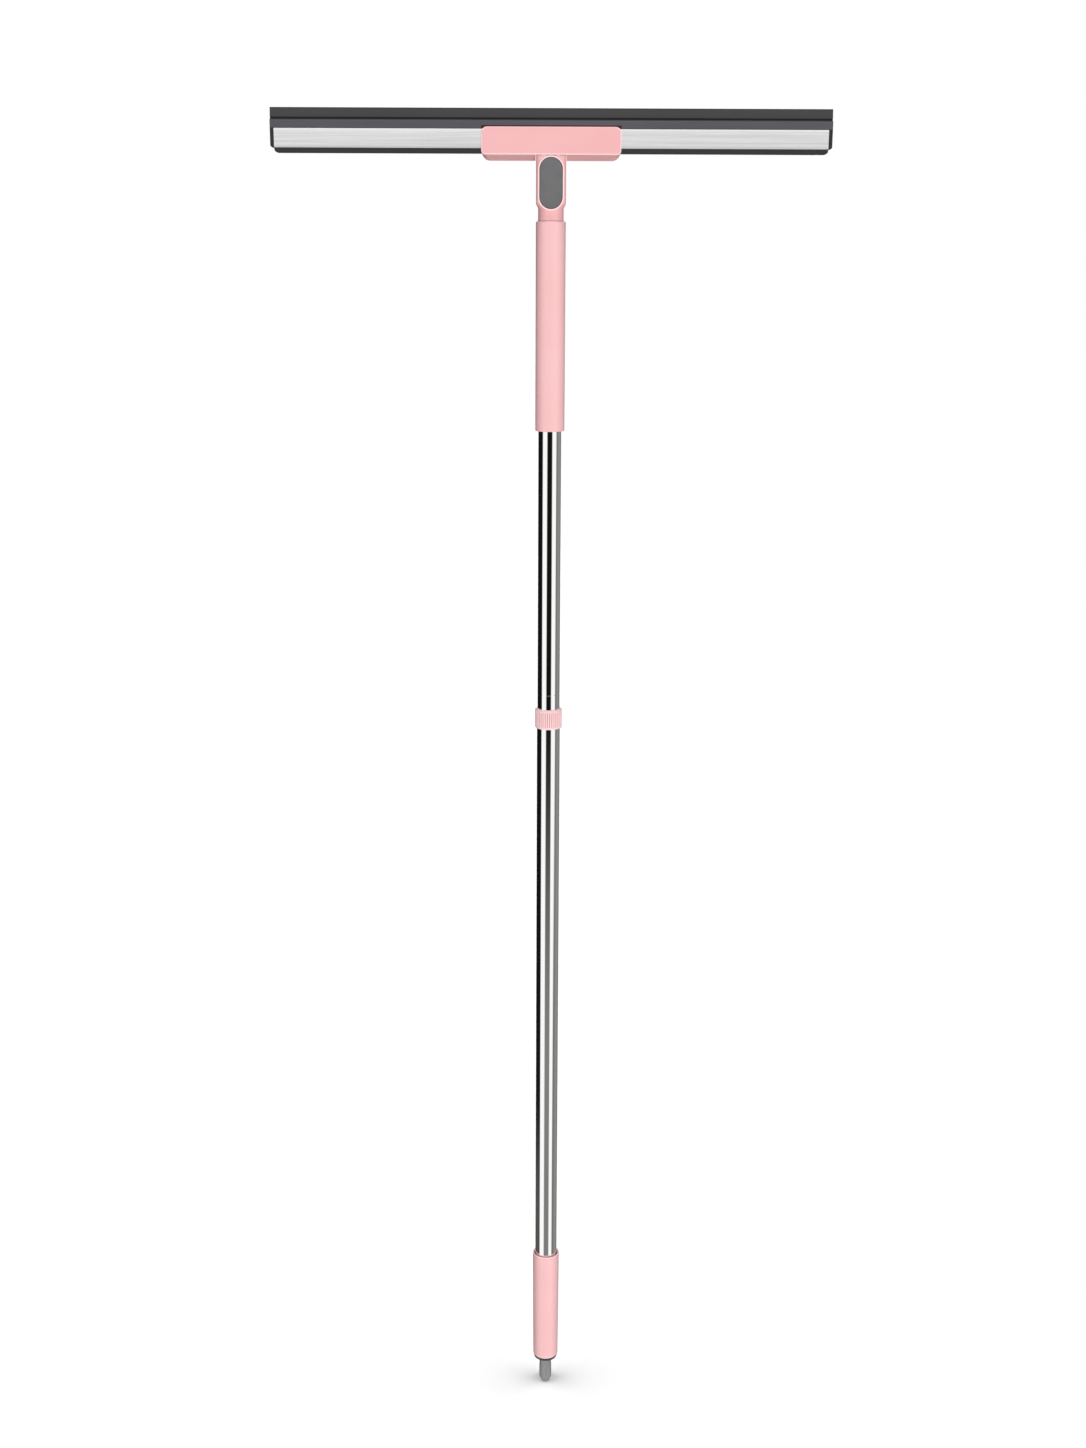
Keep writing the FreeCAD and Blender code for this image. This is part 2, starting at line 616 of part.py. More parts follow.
def lockRing():
    foot, head = at.ring_foot, at.ring_head
    bead = foot + size.part_gap + size.bead_rise
    groove = size.ring_bore_radius + size.bead_depth
    lip = size.upper_tube_radius + size.part_gap
    chamfer, rise = size.ring_chamfer, size.ring_chamfer_height
    body = turned("LockRing", [
        (size.ring_bore_radius, foot),
        (size.ring_radius - chamfer, foot),
        (size.ring_radius, foot + rise),
        (size.ring_radius, head - rise),
        (size.ring_radius - chamfer, head),
        (lip + size.ring_lip_chamfer, head),
        (lip, head - size.ring_lip_chamfer),
        (lip, head - size.ring_lip_height),
        (size.ring_bore_radius, head - size.ring_lip_height),
        (size.ring_bore_radius, bead + size.bead_width + size.running_gap),
        (groove, bead + size.bead_width * 2 / 3 + size.running_gap),
        (groove, bead + size.bead_width / 3 - size.running_gap),
        (size.ring_bore_radius, bead - size.running_gap),
    ])
    doc.recompute()
    sketch = newSketch(body, "XY_Plane", offset=foot)
    across = size.ring_radius - size.rib_depth + size.rib_groove_radius
    drawCircle(sketch, across, 0, size.rib_groove_radius)
    groove_cut = body.newObject("PartDesign::Pocket", "RibGroove")
    groove_cut.Profile = sketch
    groove_cut.Reversed = True
    bind(groove_cut, "Length", size.ring_height)
    pattern = body.newObject("PartDesign::PolarPattern", "Ribs")
    pattern.Originals = [groove_cut]
    pattern.Axis = (sketch, ["N_Axis"])
    pattern.Angle = 360
    pattern.Occurrences = size.rib_count.value
    pattern.setExpression("Occurrences", size.rib_count.formula)
    body.Tip = pattern
    return body


# ---- upper pole
def upperTube():
    outside = rod("z", (0, 0), at.upper_tube_foot, at.neck_foot, size.upper_tube_radius)
    bore = rod("z", (0, 0), at.upper_tube_foot - size.tool_reach, at.neck_foot + size.tool_reach,
               at.upper_bore)
    half = size.stop_line_width / 2
    depth = size.stop_line_depth
    line_ring = turned("StopLine", [
        (size.upper_tube_radius - depth, at.stop_line),
        (size.upper_tube_radius, at.stop_line - half),
        (size.upper_tube_radius + depth, at.stop_line - half),
        (size.upper_tube_radius + depth, at.stop_line + half),
        (size.upper_tube_radius, at.stop_line + half),
    ])
    return cut(outside, bore, line_ring, crossPinRoom(size.upper_tube_radius, at.upper_pin_height))


def tubeEndPlug():
    foot = at.upper_tube_foot
    inner = at.upper_bore - size.press_gap
    shoulder = size.upper_tube_radius
    seat = foot - size.plug_shoulder_height
    ring_foot = seat - size.guide_height - size.running_gap * 2
    low = ring_foot - size.plug_shoulder_height
    bore = size.guide_core_radius - size.plug_wall
    return turned("TubeEndPlug", [
        (bore, low),
        (shoulder - size.end_plug_chamfer, low),
        (shoulder, low + size.end_plug_chamfer),
        (shoulder, ring_foot),
        (size.guide_core_radius, ring_foot),
        (size.guide_core_radius, seat),
        (shoulder, seat),
        (shoulder, foot),
        (inner, foot),
        (inner, foot + size.end_plug_height),
        (bore, foot + size.end_plug_height),
    ])


def guideRing():
    seat = at.upper_tube_foot - size.plug_shoulder_height - size.running_gap
    foot = seat - size.guide_height
    inner = size.guide_core_radius + size.running_gap
    outer = at.lower_bore - size.running_gap
    return turned("GuideRing", [
        (inner, foot),
        (outer - size.guide_chamfer, foot),
        (outer, foot + size.guide_chamfer_height),
        (outer, seat - size.guide_chamfer_height),
        (outer - size.guide_chamfer, seat),
        (inner, seat),
    ])


def upperGrip():
    bore = size.upper_tube_radius + size.press_gap
    outer = size.upper_grip_radius
    body = turned("UpperGrip", [
        (bore, at.upper_grip_foot),
        (outer, at.upper_grip_foot),
        (outer, at.neck_foot),
        (bore, at.neck_foot),
    ])
    body = rimEdges(body, size.grip_edge_radius, outer, at.upper_grip_foot)
    return rimEdges(body, size.grip_edge_radius, outer, at.neck_foot)


# ---- neck
def onHinge(radius, near_side, far_side):
    """A disc or rod on the hinge pin's axis."""
    return rod("x", (at.pin_back, at.pin_height), near_side, far_side, radius)


def coverScrewSpots():
    inset = size.small_screw_head_radius + size.press_gap + size.small_screw_inset
    return ((size.small_screw_place, at.cover_foot + inset),
            (-size.small_screw_place, at.cover_head - inset))


def coverScrewTip():
    return at.neck_back - size.small_screw_head_height - size.small_screw_length


def neckBody():
    foot = at.neck_foot
    square = newBody("NeckSquare")
    section = newSketch(square, "XY_Plane", offset=at.neck_square)
    drawLoop(section, [(-at.neck_side, -size.neck_front), (at.neck_side, -size.neck_front),
                       (at.neck_side, at.neck_back), (-at.neck_side, at.neck_back)])
    pad(square, section, at.neck_head - at.neck_square)
    square = rounded(square, size.neck_corner_radius, lambda edge, middle: along(edge, "z"))
    doc.recompute()

    # the round foot flows into the square neck
    foot_head = foot + size.neck_round_height
    low = doc.addObject("Part::Circle", "LowSection")
    bind(low, "Radius", size.neck_round_radius)
    bind(low, "Placement.Base.z", foot_head)
    high = doc.addObject("Part::Feature", "HighSection")
    under = [face for face in square.Shape.Faces if near(face.CenterOfMass.z, at.neck_square)
             and abs(face.normalAt(0, 0).z) > 0.9][0]
    high.Shape = under.OuterWire
    blend = doc.addObject("Part::Loft", "Blend")
    blend.Sections = [low, high]
    blend.Solid = True
    blend.Ruled = True

    round_foot = rod("z", (0, 0), foot, foot_head, size.neck_round_radius)
    spigot_radius = at.upper_bore - size.press_gap
    spigot = rod("z", (0, 0), foot - size.spigot_height, foot + size.overlap, spigot_radius)
    bezel = oval("Bezel", -size.neck_front - size.bezel_proud, at.slider_front,
                 size.button_width / 2 + size.running_gap + size.bezel_width, at.button_straight)

    ears = []
    for side in (-1, 1):
        near_side = at.fork_side if side > 0 else -at.neck_side
        far_side = at.neck_side if side > 0 else -at.fork_side
        ears.append(onHinge(size.ear_radius, near_side, far_side))
        ears.append(box((near_side, at.pin_back - size.ear_radius, at.neck_head - size.overlap),
                        (far_side, at.neck_back, at.pin_height)))
    outside = fuse(square, blend, round_foot, spigot, bezel, *ears)

    core = rod("z", (0, 0), foot - size.spigot_height - size.tool_reach, foot + size.plug_wall,
               spigot_radius - size.plug_wall)
    pin_room = crossPinRoom(size.upper_tube_radius, at.upper_pin_height)
    opening = oval("ButtonOpening", -size.neck_front - size.bezel_proud - size.tool_reach,
                   at.wall_back + size.running_gap,
                   size.button_width / 2 + size.running_gap, at.button_straight)
    flange_room = oval("FlangeRoom", at.wall_back, at.flange_room,
                       size.button_width / 2 + size.button_flange + size.running_gap,
                       at.button_straight)
    wedge_half = size.wedge_width / 2 + size.running_gap
    wedge_room = box((-wedge_half, at.flange_room - size.tool_reach, at.wedge_foot - size.running_gap),
                     (wedge_half, at.slider_front + size.tool_reach, at.wedge_head + size.running_gap))
    slide_half = size.slider_width / 2 + size.running_gap
    back_room = at.slider_back + size.running_gap
    slider_room = box((-slide_half, at.slider_front - size.running_gap,
                       at.slider_foot - size.button_travel - size.part_gap),
                      (slide_half, back_room, at.neck_head + size.tool_reach))
    spring_half = size.spring_radius + size.spring_wire_radius + size.part_gap
    spring_room = box((-spring_half, at.pin_back - spring_half, at.spring_foot),
                      (spring_half, back_room, at.slider_foot))
    back_opening = box((-slide_half, at.pin_back, at.spring_foot),
                       (slide_half, back_room + size.tool_reach, at.opening_head))
    cover_half = size.rear_cover_width / 2 + size.press_gap
    cover_seat = box((-cover_half, at.neck_back - size.rear_cover_thickness,
                      at.cover_foot - size.press_gap),
                     (cover_half, at.neck_back + size.tool_reach, at.cover_head + size.press_gap))
    pin_bore = onHinge(size.pin_radius + size.running_gap, -at.neck_side - size.tool_reach,
                       at.neck_side + size.tool_reach)
    pilot_radius = size.small_screw_radius + size.press_gap
    pilots = [rod("y", spot, coverScrewTip() - size.part_gap, at.neck_back + size.tool_reach, pilot_radius)
              for spot in coverScrewSpots()]
    return cut(outside, core, pin_room, opening, flange_room, wedge_room, slider_room,
               spring_room, back_opening, cover_seat, pin_bore, *pilots)


def neckRearCover():
    half = size.rear_cover_width / 2
    plate = box((-half, at.neck_back - size.rear_cover_thickness + size.press_gap, at.cover_foot),
                (half, at.neck_back, at.cover_head))
    plate = rounded(plate, size.rear_cover_corner_radius, lambda edge, middle: along(edge, "y"))
    tools = []
    for spot in coverScrewSpots():
        seat = at.neck_back - size.small_screw_head_height - size.press_gap
        tools.append(rod("y", spot, seat, at.neck_back + size.tool_reach,
                         size.small_screw_head_radius + size.press_gap))
        tools.append(rod("y", spot, coverScrewTip(), at.neck_back,
                         size.small_screw_radius + size.press_gap))
    return cut(plate, *tools)


def neckCoverScrews():
    return group(*[screw(across, up, at.neck_back, coverScrewTip(), size.small_screw_radius,
                         size.small_screw_head_radius, size.small_screw_head_height)
                   for across, up in coverScrewSpots()])


# ---- button and brake
def releaseButton():
    face = -(size.neck_front + size.bezel_proud + size.button_proud)
    key = oval("ButtonFace", face, at.flange_front + size.overlap, size.button_width / 2,
               at.button_straight)
    key = rounded(key, size.button_edge_radius, lambda edge, middle: near(middle.y, face))
    rim = oval("ButtonRim", at.flange_front, at.flange_back,
               size.button_width / 2 + size.button_flange, at.button_straight)
    slope_start = at.wedge_tip - size.wedge_run
    wedge = bar("Wedge", [
        (at.flange_back - size.overlap, at.wedge_foot),
        (at.flange_back - size.overlap, at.wedge_head),
        (at.wedge_tip, at.wedge_head),
        (at.wedge_tip, at.wedge_foot + size.wedge_run),
        (slope_start, at.wedge_foot),
    ], size.wedge_width)
    return fuse(key, rim, wedge)


def brakeSlider():
    half = size.slider_width / 2
    block = box((-half, at.slider_front, at.slider_foot), (half, at.slider_back, at.slider_head))
    block = rounded(block, size.slider_edge_radius, lambda edge, middle: along(edge, "z"))
    slope_start = at.wedge_tip - size.wedge_run
    back = at.wedge_tip + size.button_travel + size.part_gap
    head = at.wedge_head + size.button_travel + size.part_gap
    front = at.slider_front - size.tool_reach
    lift = size.running_gap * math.sqrt(2)
    notch = bar("WedgeNotch", [
        (front, at.wedge_foot + front - slope_start - lift),
        (front, head),
        (back, head),
        (back, at.wedge_foot + back - slope_start - lift),
    ], size.wedge_width + size.running_gap * 2)
    return cut(block, notch)


def brakePad():
    half = size.slider_width / 2
    block = box((-half, at.slider_front, at.slider_head + size.press_gap),
                (half, at.slider_back, at.pin_height))
    drum_room = onHinge(size.drum_radius + size.running_gap, -half - size.tool_reach,
                        half + size.tool_reach)
    return cut(block, drum_room)


def brakeSpring():
    coil = doc.addObject("Part::Helix", "Coil")
    height = size.spring_length - size.spring_wire_radius * 2 - size.press_gap * 2
    bind(coil, "Radius", size.spring_radius)
    bind(coil, "Height", height)
    bind(coil, "Pitch", height / size.spring_turns)
    start = at.spring_foot + size.spring_wire_radius + size.press_gap
    bind(coil, "Placement.Base.y", at.pin_back)
    bind(coil, "Placement.Base.z", start)
    wire = doc.addObject("Part::Circle", "WireSection")
    bind(wire, "Radius", size.spring_wire_radius)
    wire.Placement = Placement(Vector(), ALONG["y"])
    bind(wire, "Placement.Base.x", size.spring_radius)
    bind(wire, "Placement.Base.y", at.pin_back)
    bind(wire, "Placement.Base.z", start)
    spring = doc.addObject("Part::Sweep", "Spring")
    spring.Sections = [wire]
    spring.Spine = (coil, ["Edge1"])
    spring.Solid = True
    spring.Frenet = True
    return spring


# ---- hinge
def hingePin():
    reach = at.lug_outer + size.press_gap + size.clip_thickness + size.pin_end
    return onHinge(size.pin_radius, -reach, reach)


def ringsOnPin(inner_face, thickness, radius, bore):
    """One ring on each side of the middle."""
    rings = []
    for faces in ((inner_face, inner_face + thickness), (-inner_face - thickness, -inner_face)):
        hole = onHinge(bore, faces[0] - size.tool_reach, faces[1] + size.tool_reach)
        rings.append(cut(onHinge(radius, *faces), hole))
    return group(*rings)


def hingeWashers():
    return ringsOnPin(at.neck_side + size.running_gap, size.washer_thickness, size.washer_radius,
                      size.pin_radius + size.press_gap)


def pinClips():
    return ringsOnPin(at.lug_outer + size.press_gap, size.clip_thickness, size.clip_radius,
                      size.pin_radius + size.press_gap)


def brakeDrum():
    half = at.fork_side - size.part_gap
    drum = onHinge(size.drum_radius, -half, half)
    bore = onHinge(size.pin_radius + size.press_gap, -half - size.tool_reach, half + size.tool_reach)
    return cut(drum, bore)


# ---- blade, carrier, channel, trim, end caps
def bladeChannel():
    middle, half = at.channel_middle, size.channel_depth / 2
    foot, head, web = at.channel_foot, at.channel_head, size.channel_web
    slot, cavity = at.slot_half, at.cavity_half
    upper_floor, lower_roof = at.upper_web, at.lower_web
    body = bar("BladeChannel", [
        (middle - half, foot),
        (middle - half, head),
        (middle - slot, head),
        (middle - slot, head - web),
        (middle - cavity, head - web),
        (middle - cavity, upper_floor),
        (middle + cavity, upper_floor),
        (middle + cavity, head - web),
        (middle + slot, head - web),
        (middle + slot, head),
        (middle + half, head),
        (middle + half, foot),
        (middle + slot, foot),
        (middle + slot, foot + web),
        (middle + cavity, foot + web),
        (middle + cavity, lower_roof),
        (middle - cavity, lower_roof),
        (middle - cavity, foot + web),
        (middle - slot, foot + web),
        (middle - slot, foot),
    ], size.channel_length, inside=[
        (middle - cavity, lower_roof + web),
        (middle - cavity, upper_floor - web),
        (middle + cavity, upper_floor - web),
        (middle + cavity, lower_roof + web),
    ])
    body = rounded(body, size.channel_edge_radius, lambda edge, middle: (
        along(edge, "x") and near(middle.y, -size.channel_front) and near(middle.z, foot)))
    tools = []
    for spot in screwSpots():
        tools.append(rod("y", spot, -size.channel_front - size.tool_reach, middle,
                         size.boss_radius + size.press_gap))
        tools.append(rod("y", spot, middle, at.channel_back + size.tool_reach,
                         size.screw_radius + size.screw_hole_room))
    return cut(body, *tools)


def screwSpots():
    across = (-size.outer_screw_place, -size.inner_screw_place,
              size.inner_screw_place, size.outer_screw_place)
    return [(place_across, at.screw_height) for place_across in across]


def bladeCarrier():
    middle = at.channel_middle
    foot_half, neck_half = at.cavity_half - size.press_gap, at.slot_half - size.press_gap
    low = at.upper_web + size.press_gap
    step = at.channel_head - size.channel_web - size.press_gap
    seat = at.channel_head + size.press_gap
    body_half = size.channel_depth / 2 - size.carrier_inset
    head_half = body_half - size.carrier_taper
    head = at.carrier_head
    groove = size.root_thickness / 2 + size.press_gap
    floor = head - size.blade_groove
    body = bar("BladeCarrier", [
        (middle - foot_half, low),
        (middle - foot_half, step),
        (middle - neck_half, step),
        (middle - neck_half, seat),
        (middle - body_half, seat),
        (middle - body_half, head - size.carrier_taper),
        (middle - head_half, head),
        (middle - groove, head),
        (middle - groove, floor),
        (middle + groove, floor),
        (middle + groove, head),
        (middle + head_half, head),
        (middle + body_half, head - size.carrier_taper),
        (middle + body_half, seat),
        (middle + neck_half, seat),
        (middle + neck_half, step),
        (middle + foot_half, step),
        (middle + foot_half, low),
    ], at.blade_half_length * 2)
    # the foot ends with the channel, the visible part runs on over the end caps
    foot_end, past_end = size.channel_length / 2, at.blade_half_length + size.tool_reach
    deep, under = size.channel_depth, low - size.tool_reach
    right = box((foot_end, middle - deep, under), (past_end, middle + deep, seat))
    left = box((-past_end, middle - deep, under), (-foot_end, middle + deep, seat))
    return cut(body, right, left)


def squeegeeBlade():
    middle = at.channel_middle
    root = size.root_thickness / 2
    wide, thin = size.lip_thickness / 2, size.lip_edge_thickness / 2
    floor = at.carrier_head - size.blade_groove + size.press_gap
    body = bar("SqueegeeBlade", [
        (middle - root, floor),
        (middle - root, at.lip_foot),
        (middle - wide, at.lip_foot + size.lip_step),
        (middle - wide, at.lip_foot + size.lip_straight),
        (middle - thin, at.blade_head),
        (middle + thin, at.blade_head),
        (middle + wide, at.lip_foot + size.lip_straight),
        (middle + wide, at.lip_foot + size.lip_step),
        (middle + root, at.lip_foot),
        (middle + root, floor),
    ], at.blade_half_length * 2)
    return rounded(body, size.blade_corner_radius, lambda edge, middle: (
        along(edge, "y") and near(middle.z, at.blade_head)))


def lowerTrim():
    middle = at.channel_middle
    foot_half, neck_half = at.cavity_half - size.press_gap, at.slot_half - size.press_gap
    body_half = size.channel_depth / 2 - size.trim_inset
    roof = at.lower_web - size.press_gap
    step = at.channel_foot + size.channel_web + size.press_gap
    seat = at.channel_foot - size.press_gap
    body = bar("LowerTrim", [
        (middle - foot_half, roof),
        (middle + foot_half, roof),
        (middle + foot_half, step),
        (middle + neck_half, step),
        (middle + neck_half, seat),
        (middle + body_half, seat),
        (middle + body_half, at.trim_foot),
        (middle - body_half, at.trim_foot),
        (middle - body_half, seat),
        (middle - neck_half, seat),
        (middle - neck_half, step),
        (middle - foot_half, step),
    ], size.channel_length)
    return rounded(body, size.trim_corner_radius, lambda edge, middle: (
        along(edge, "y") and near(middle.z, at.trim_foot)))


def endCap(side):
    near_face = size.channel_length / 2 + size.press_gap
    plug_tip = size.channel_length / 2 - size.end_cap_plug
    plate_faces = (near_face, at.blade_half_length) if side > 0 else (-at.blade_half_length, -near_face)
    plug_root = near_face + size.overlap
    plug_faces = (plug_tip, plug_root) if side > 0 else (-plug_root, -plug_tip)
    plate = box((plate_faces[0], -size.channel_front, at.channel_foot),
                (plate_faces[1], at.channel_back, at.channel_head))
    plate = rounded(plate, size.end_cap_edge_radius, lambda edge, middle: (
        near(abs(middle.x), at.blade_half_length) and not near(middle.z, at.channel_head)))
    half = at.cavity_half - size.press_gap
    plug = box((plug_faces[0], at.channel_middle - half,
                at.lower_web + size.channel_web + size.press_gap),
               (plug_faces[1], at.channel_middle + half,
                at.upper_web - size.channel_web - size.press_gap))
    return fuse(plate, plug)


# ---- bracket
def atSides(edge, middle):
    """True for the front-to-back edges at the bracket's two sides."""
    straight_up = along(edge, "z") or along(edge, "x")
    return near(abs(middle.x), size.bracket_width / 2) and not straight_up


def upperCorners(base, radius):
    return rounded(base, radius, lambda edge, middle: (
        atSides(edge, middle) and middle.z > at.pin_height.value))


def lowerCorners(base, radius, front_radius=None):
    """The radius may be another one at the front end of the edges."""
    return rounded(base, radius, lambda edge, middle: (
        atSides(edge, middle) and middle.z < at.pin_height.value), front_radius)


def bracketFrontCover():
    front, back = -size.bracket_front, at.channel_back
    block = bar("FrontCoverBlock", [
        (front, at.bracket_foot),
        (front, at.bracket_head),
        (back, at.bracket_head),
        (back, underside(back)),
    ], size.bracket_width)
    block = upperCorners(block, size.face_corner_radius)
    block = lowerCorners(block, size.foot_corner_radius, size.face_foot_corner_radius)
    block = rounded(block, size.bracket_edge_radius, lambda edge, middle: near(middle.y, front))
    inner_face = -size.channel_front - size.press_gap
    wide = size.bracket_width
    floor = at.trim_foot - size.press_gap
    past_back = back + size.tool_reach
    channel_room = box((-wide, inner_face, floor), (wide, past_back, at.bracket_head + size.tool_reach))
    neck_slot = box((-at.lug_inner, inner_face, at.neck_square),
                    (at.lug_inner, past_back, floor + size.tool_reach))
    boss_tip = at.channel_back - size.channel_wall - size.part_gap
    bosses = []
    pilots = []
    for spot in screwSpots():
        bosses.append(rod("y", spot, inner_face - size.overlap, boss_tip, size.boss_radius))
        pilots.append(rod("y", spot, inner_face, boss_tip + size.tool_reach,
                          size.screw_radius + size.press_gap))
    return cut(fuse(cut(block, channel_room, neck_slot), *bosses), *pilots)


def housingSection(wall, front):
    """The rear housing's section, drawn in by a wall all round."""
    back = at.bracket_back - wall
    head = at.housing_head - wall
    shoulder = size.housing_shoulder
    return [
        (front, underside(front) + wall),
        (front, head),
        (back - shoulder, head),
        (back, head - shoulder),
        (back, underside(back) + wall),
    ]


def bracketRearHousing():
    front, back = at.channel_back + size.press_gap, at.bracket_back
    wall = size.housing_wall
    outside = bar("HousingBlock", housingSection(dimension(0), front), size.bracket_width)
    outside = lowerCorners(upperCorners(outside, size.face_corner_radius), size.foot_corner_radius)
    inside = bar("HousingRoom", housingSection(wall, front - size.tool_reach),
                 size.bracket_width - wall * 2)
    inside = rounded(inside, size.foot_corner_radius - wall, lambda edge, middle: (
        near(abs(middle.x), size.bracket_width / 2 - wall) and middle.z < at.pin_height.value
        and not along(edge, "z")))
    lugs = box((-at.lug_outer, front - size.tool_reach, at.neck_square),
               (at.lug_outer, back + size.tool_reach, at.housing_head))
    bosses = [rod("y", spot, front, back - size.tool_reach, size.housing_boss_radius)
              for spot in screwSpots()]
    shell = fuse(cut(outside, cut(inside, lugs)), *bosses)
    neck_slot = box((-at.lug_inner, front - size.tool_reach, at.neck_square),
                    (at.lug_inner, back + size.tool_reach,
                     at.pin_height + size.ear_radius + size.part_gap))
    pin_bore = onHinge(size.pin_radius + size.press_gap, -at.lug_outer - size.tool_reach,
                       at.lug_outer + size.tool_reach)
    tools = [neck_slot, pin_bore]
    for spot in screwSpots():
        tools.append(rod("y", spot, front - size.tool_reach, back + size.tool_reach,
                         size.screw_radius + size.part_gap))
        tools.append(rod("y", spot, back - size.screw_head_height - size.press_gap,
                         back + size.tool_reach, size.screw_head_radius + size.press_gap))
    return cut(shell, *tools)


def bracketScrews():
    tip = size.screw_tip - size.channel_front
    return group(*[screw(across, up, at.bracket_back, tip, size.screw_radius,
                         size.screw_head_radius, size.screw_head_height)
                   for across, up in screwSpots()])


PIECES = {
    "hanger_cap": hangerCap,
    "cap_cross_pin": lambda: crossPin(size.lower_tube_radius, at.lower_pin_height),
    "lower_tube": lowerTube,
    "lower_grip": lowerGrip,
    "lock_collet": lockCollet,
    "lock_ring": lockRing,
    "guide_ring": guideRing,
    "tube_end_plug": tubeEndPlug,
    "upper_tube": upperTube,
    "upper_grip": upperGrip,
    "neck_body": neckBody,
    "neck_cross_pin": lambda: crossPin(size.upper_tube_radius, at.upper_pin_height),
    "neck_rear_cover": neckRearCover,
    "neck_cover_screws": neckCoverScrews,
    "brake_spring": brakeSpring,
    "release_button": releaseButton,
    "brake_slider": brakeSlider,
    "brake_pad": brakePad,
    "hinge_pin": hingePin,
    "hinge_washers": hingeWashers,
    "pin_clips": pinClips,
    "brake_drum": brakeDrum,
    "blade_channel": bladeChannel,
    "blade_carrier": bladeCarrier,
    "squeegee_blade": squeegeeBlade,
    "lower_trim": lowerTrim,
    "end_cap_left": lambda: endCap(-1),
    "end_cap_right": lambda: endCap(1),
    "bracket_front_cover": bracketFrontCover,
    "bracket_rear_housing": bracketRearHousing,
    "bracket_screws": bracketScrews,
}

doc.recompute()
finished = {}
for name, make in PIECES.items():
    piece = make()
    piece.Label = name
    finished[name] = piece
    doc.recompute()

for thing in doc.Objects:
    if "Invalid" in thing.State or "Error" in thing.State:
        raise RuntimeError("%s (%s) failed" % (thing.Name, thing.Label))

os.makedirs("parts", exist_ok=True)
for name, piece in finished.items():
    shape = piece.Shape
    if shape.isNull() or not shape.isValid() or not shape.Solids:
        raise RuntimeError("%s has no sound shape" % name)
    shape.exportStep("parts/%s.step" % name)
    bounds = shape.BoundBox
    print("%-22s solids %d  volume %9.1f  x %7.2f %7.2f  y %6.2f %6.2f  z %8.2f %8.2f" % (
        name, len(shape.Solids), shape.Volume, bounds.XMin, bounds.XMax, bounds.YMin, bounds.YMax,
        bounds.ZMin, bounds.ZMax))
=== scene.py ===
import json
import math

import bmesh
import bpy
from mathutils import Matrix, Vector


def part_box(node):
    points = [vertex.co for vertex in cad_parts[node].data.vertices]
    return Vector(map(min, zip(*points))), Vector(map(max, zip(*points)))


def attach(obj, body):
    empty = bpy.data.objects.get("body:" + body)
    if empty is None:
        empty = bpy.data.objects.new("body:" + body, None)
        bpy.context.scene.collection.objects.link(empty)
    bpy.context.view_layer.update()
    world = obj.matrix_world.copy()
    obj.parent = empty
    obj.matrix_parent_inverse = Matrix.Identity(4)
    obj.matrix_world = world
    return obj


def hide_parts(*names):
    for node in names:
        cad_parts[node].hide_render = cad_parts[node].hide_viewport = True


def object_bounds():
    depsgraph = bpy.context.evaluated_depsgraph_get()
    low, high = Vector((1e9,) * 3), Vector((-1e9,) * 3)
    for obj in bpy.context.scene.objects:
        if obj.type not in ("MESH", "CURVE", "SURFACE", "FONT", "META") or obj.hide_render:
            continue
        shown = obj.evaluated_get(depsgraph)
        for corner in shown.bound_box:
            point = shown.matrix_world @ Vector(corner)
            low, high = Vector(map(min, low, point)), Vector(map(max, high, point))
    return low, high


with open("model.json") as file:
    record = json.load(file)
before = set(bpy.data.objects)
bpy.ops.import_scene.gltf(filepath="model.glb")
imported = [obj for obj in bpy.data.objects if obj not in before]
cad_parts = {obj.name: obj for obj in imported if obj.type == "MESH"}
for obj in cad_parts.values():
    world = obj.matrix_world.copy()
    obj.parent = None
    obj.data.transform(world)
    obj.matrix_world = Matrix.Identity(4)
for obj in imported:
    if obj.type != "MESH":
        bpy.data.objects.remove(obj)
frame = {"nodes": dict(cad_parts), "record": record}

mm = 0.001
weld = 0.001 * mm        # points nearer than this are one point
closeBy = 0.02 * mm      # heights and radii within this are the same
mostly = 0.9             # share of an edge's run that makes it count as along an axis
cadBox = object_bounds()
bodyOf = {node: body for body, nodes in frame["record"]["behaviour"]["bodies"].items()
          for node in nodes}


# shader nodes, written as plain arithmetic
class Wire:
    def __init__(self, sheet, socket):
        self.sheet = sheet
        self.socket = socket

    def sum(self, operation, first, second):
        return self.sheet.add("Math", {"operation": operation}, {0: first, 1: second})

    def __add__(self, other):
        return self.sum("ADD", self, other)

    def __radd__(self, other):
        return self.sum("ADD", other, self)

    def __sub__(self, other):
        return self.sum("SUBTRACT", self, other)

    def __rsub__(self, other):
        return self.sum("SUBTRACT", other, self)

    def __mul__(self, other):
        return self.sum("MULTIPLY", self, other)

    def __rmul__(self, other):
        return self.sum("MULTIPLY", other, self)

    def __truediv__(self, other):
        return self.sum("DIVIDE", self, other)

    def __gt__(self, other):
        return self.sum("GREATER_THAN", self, other)


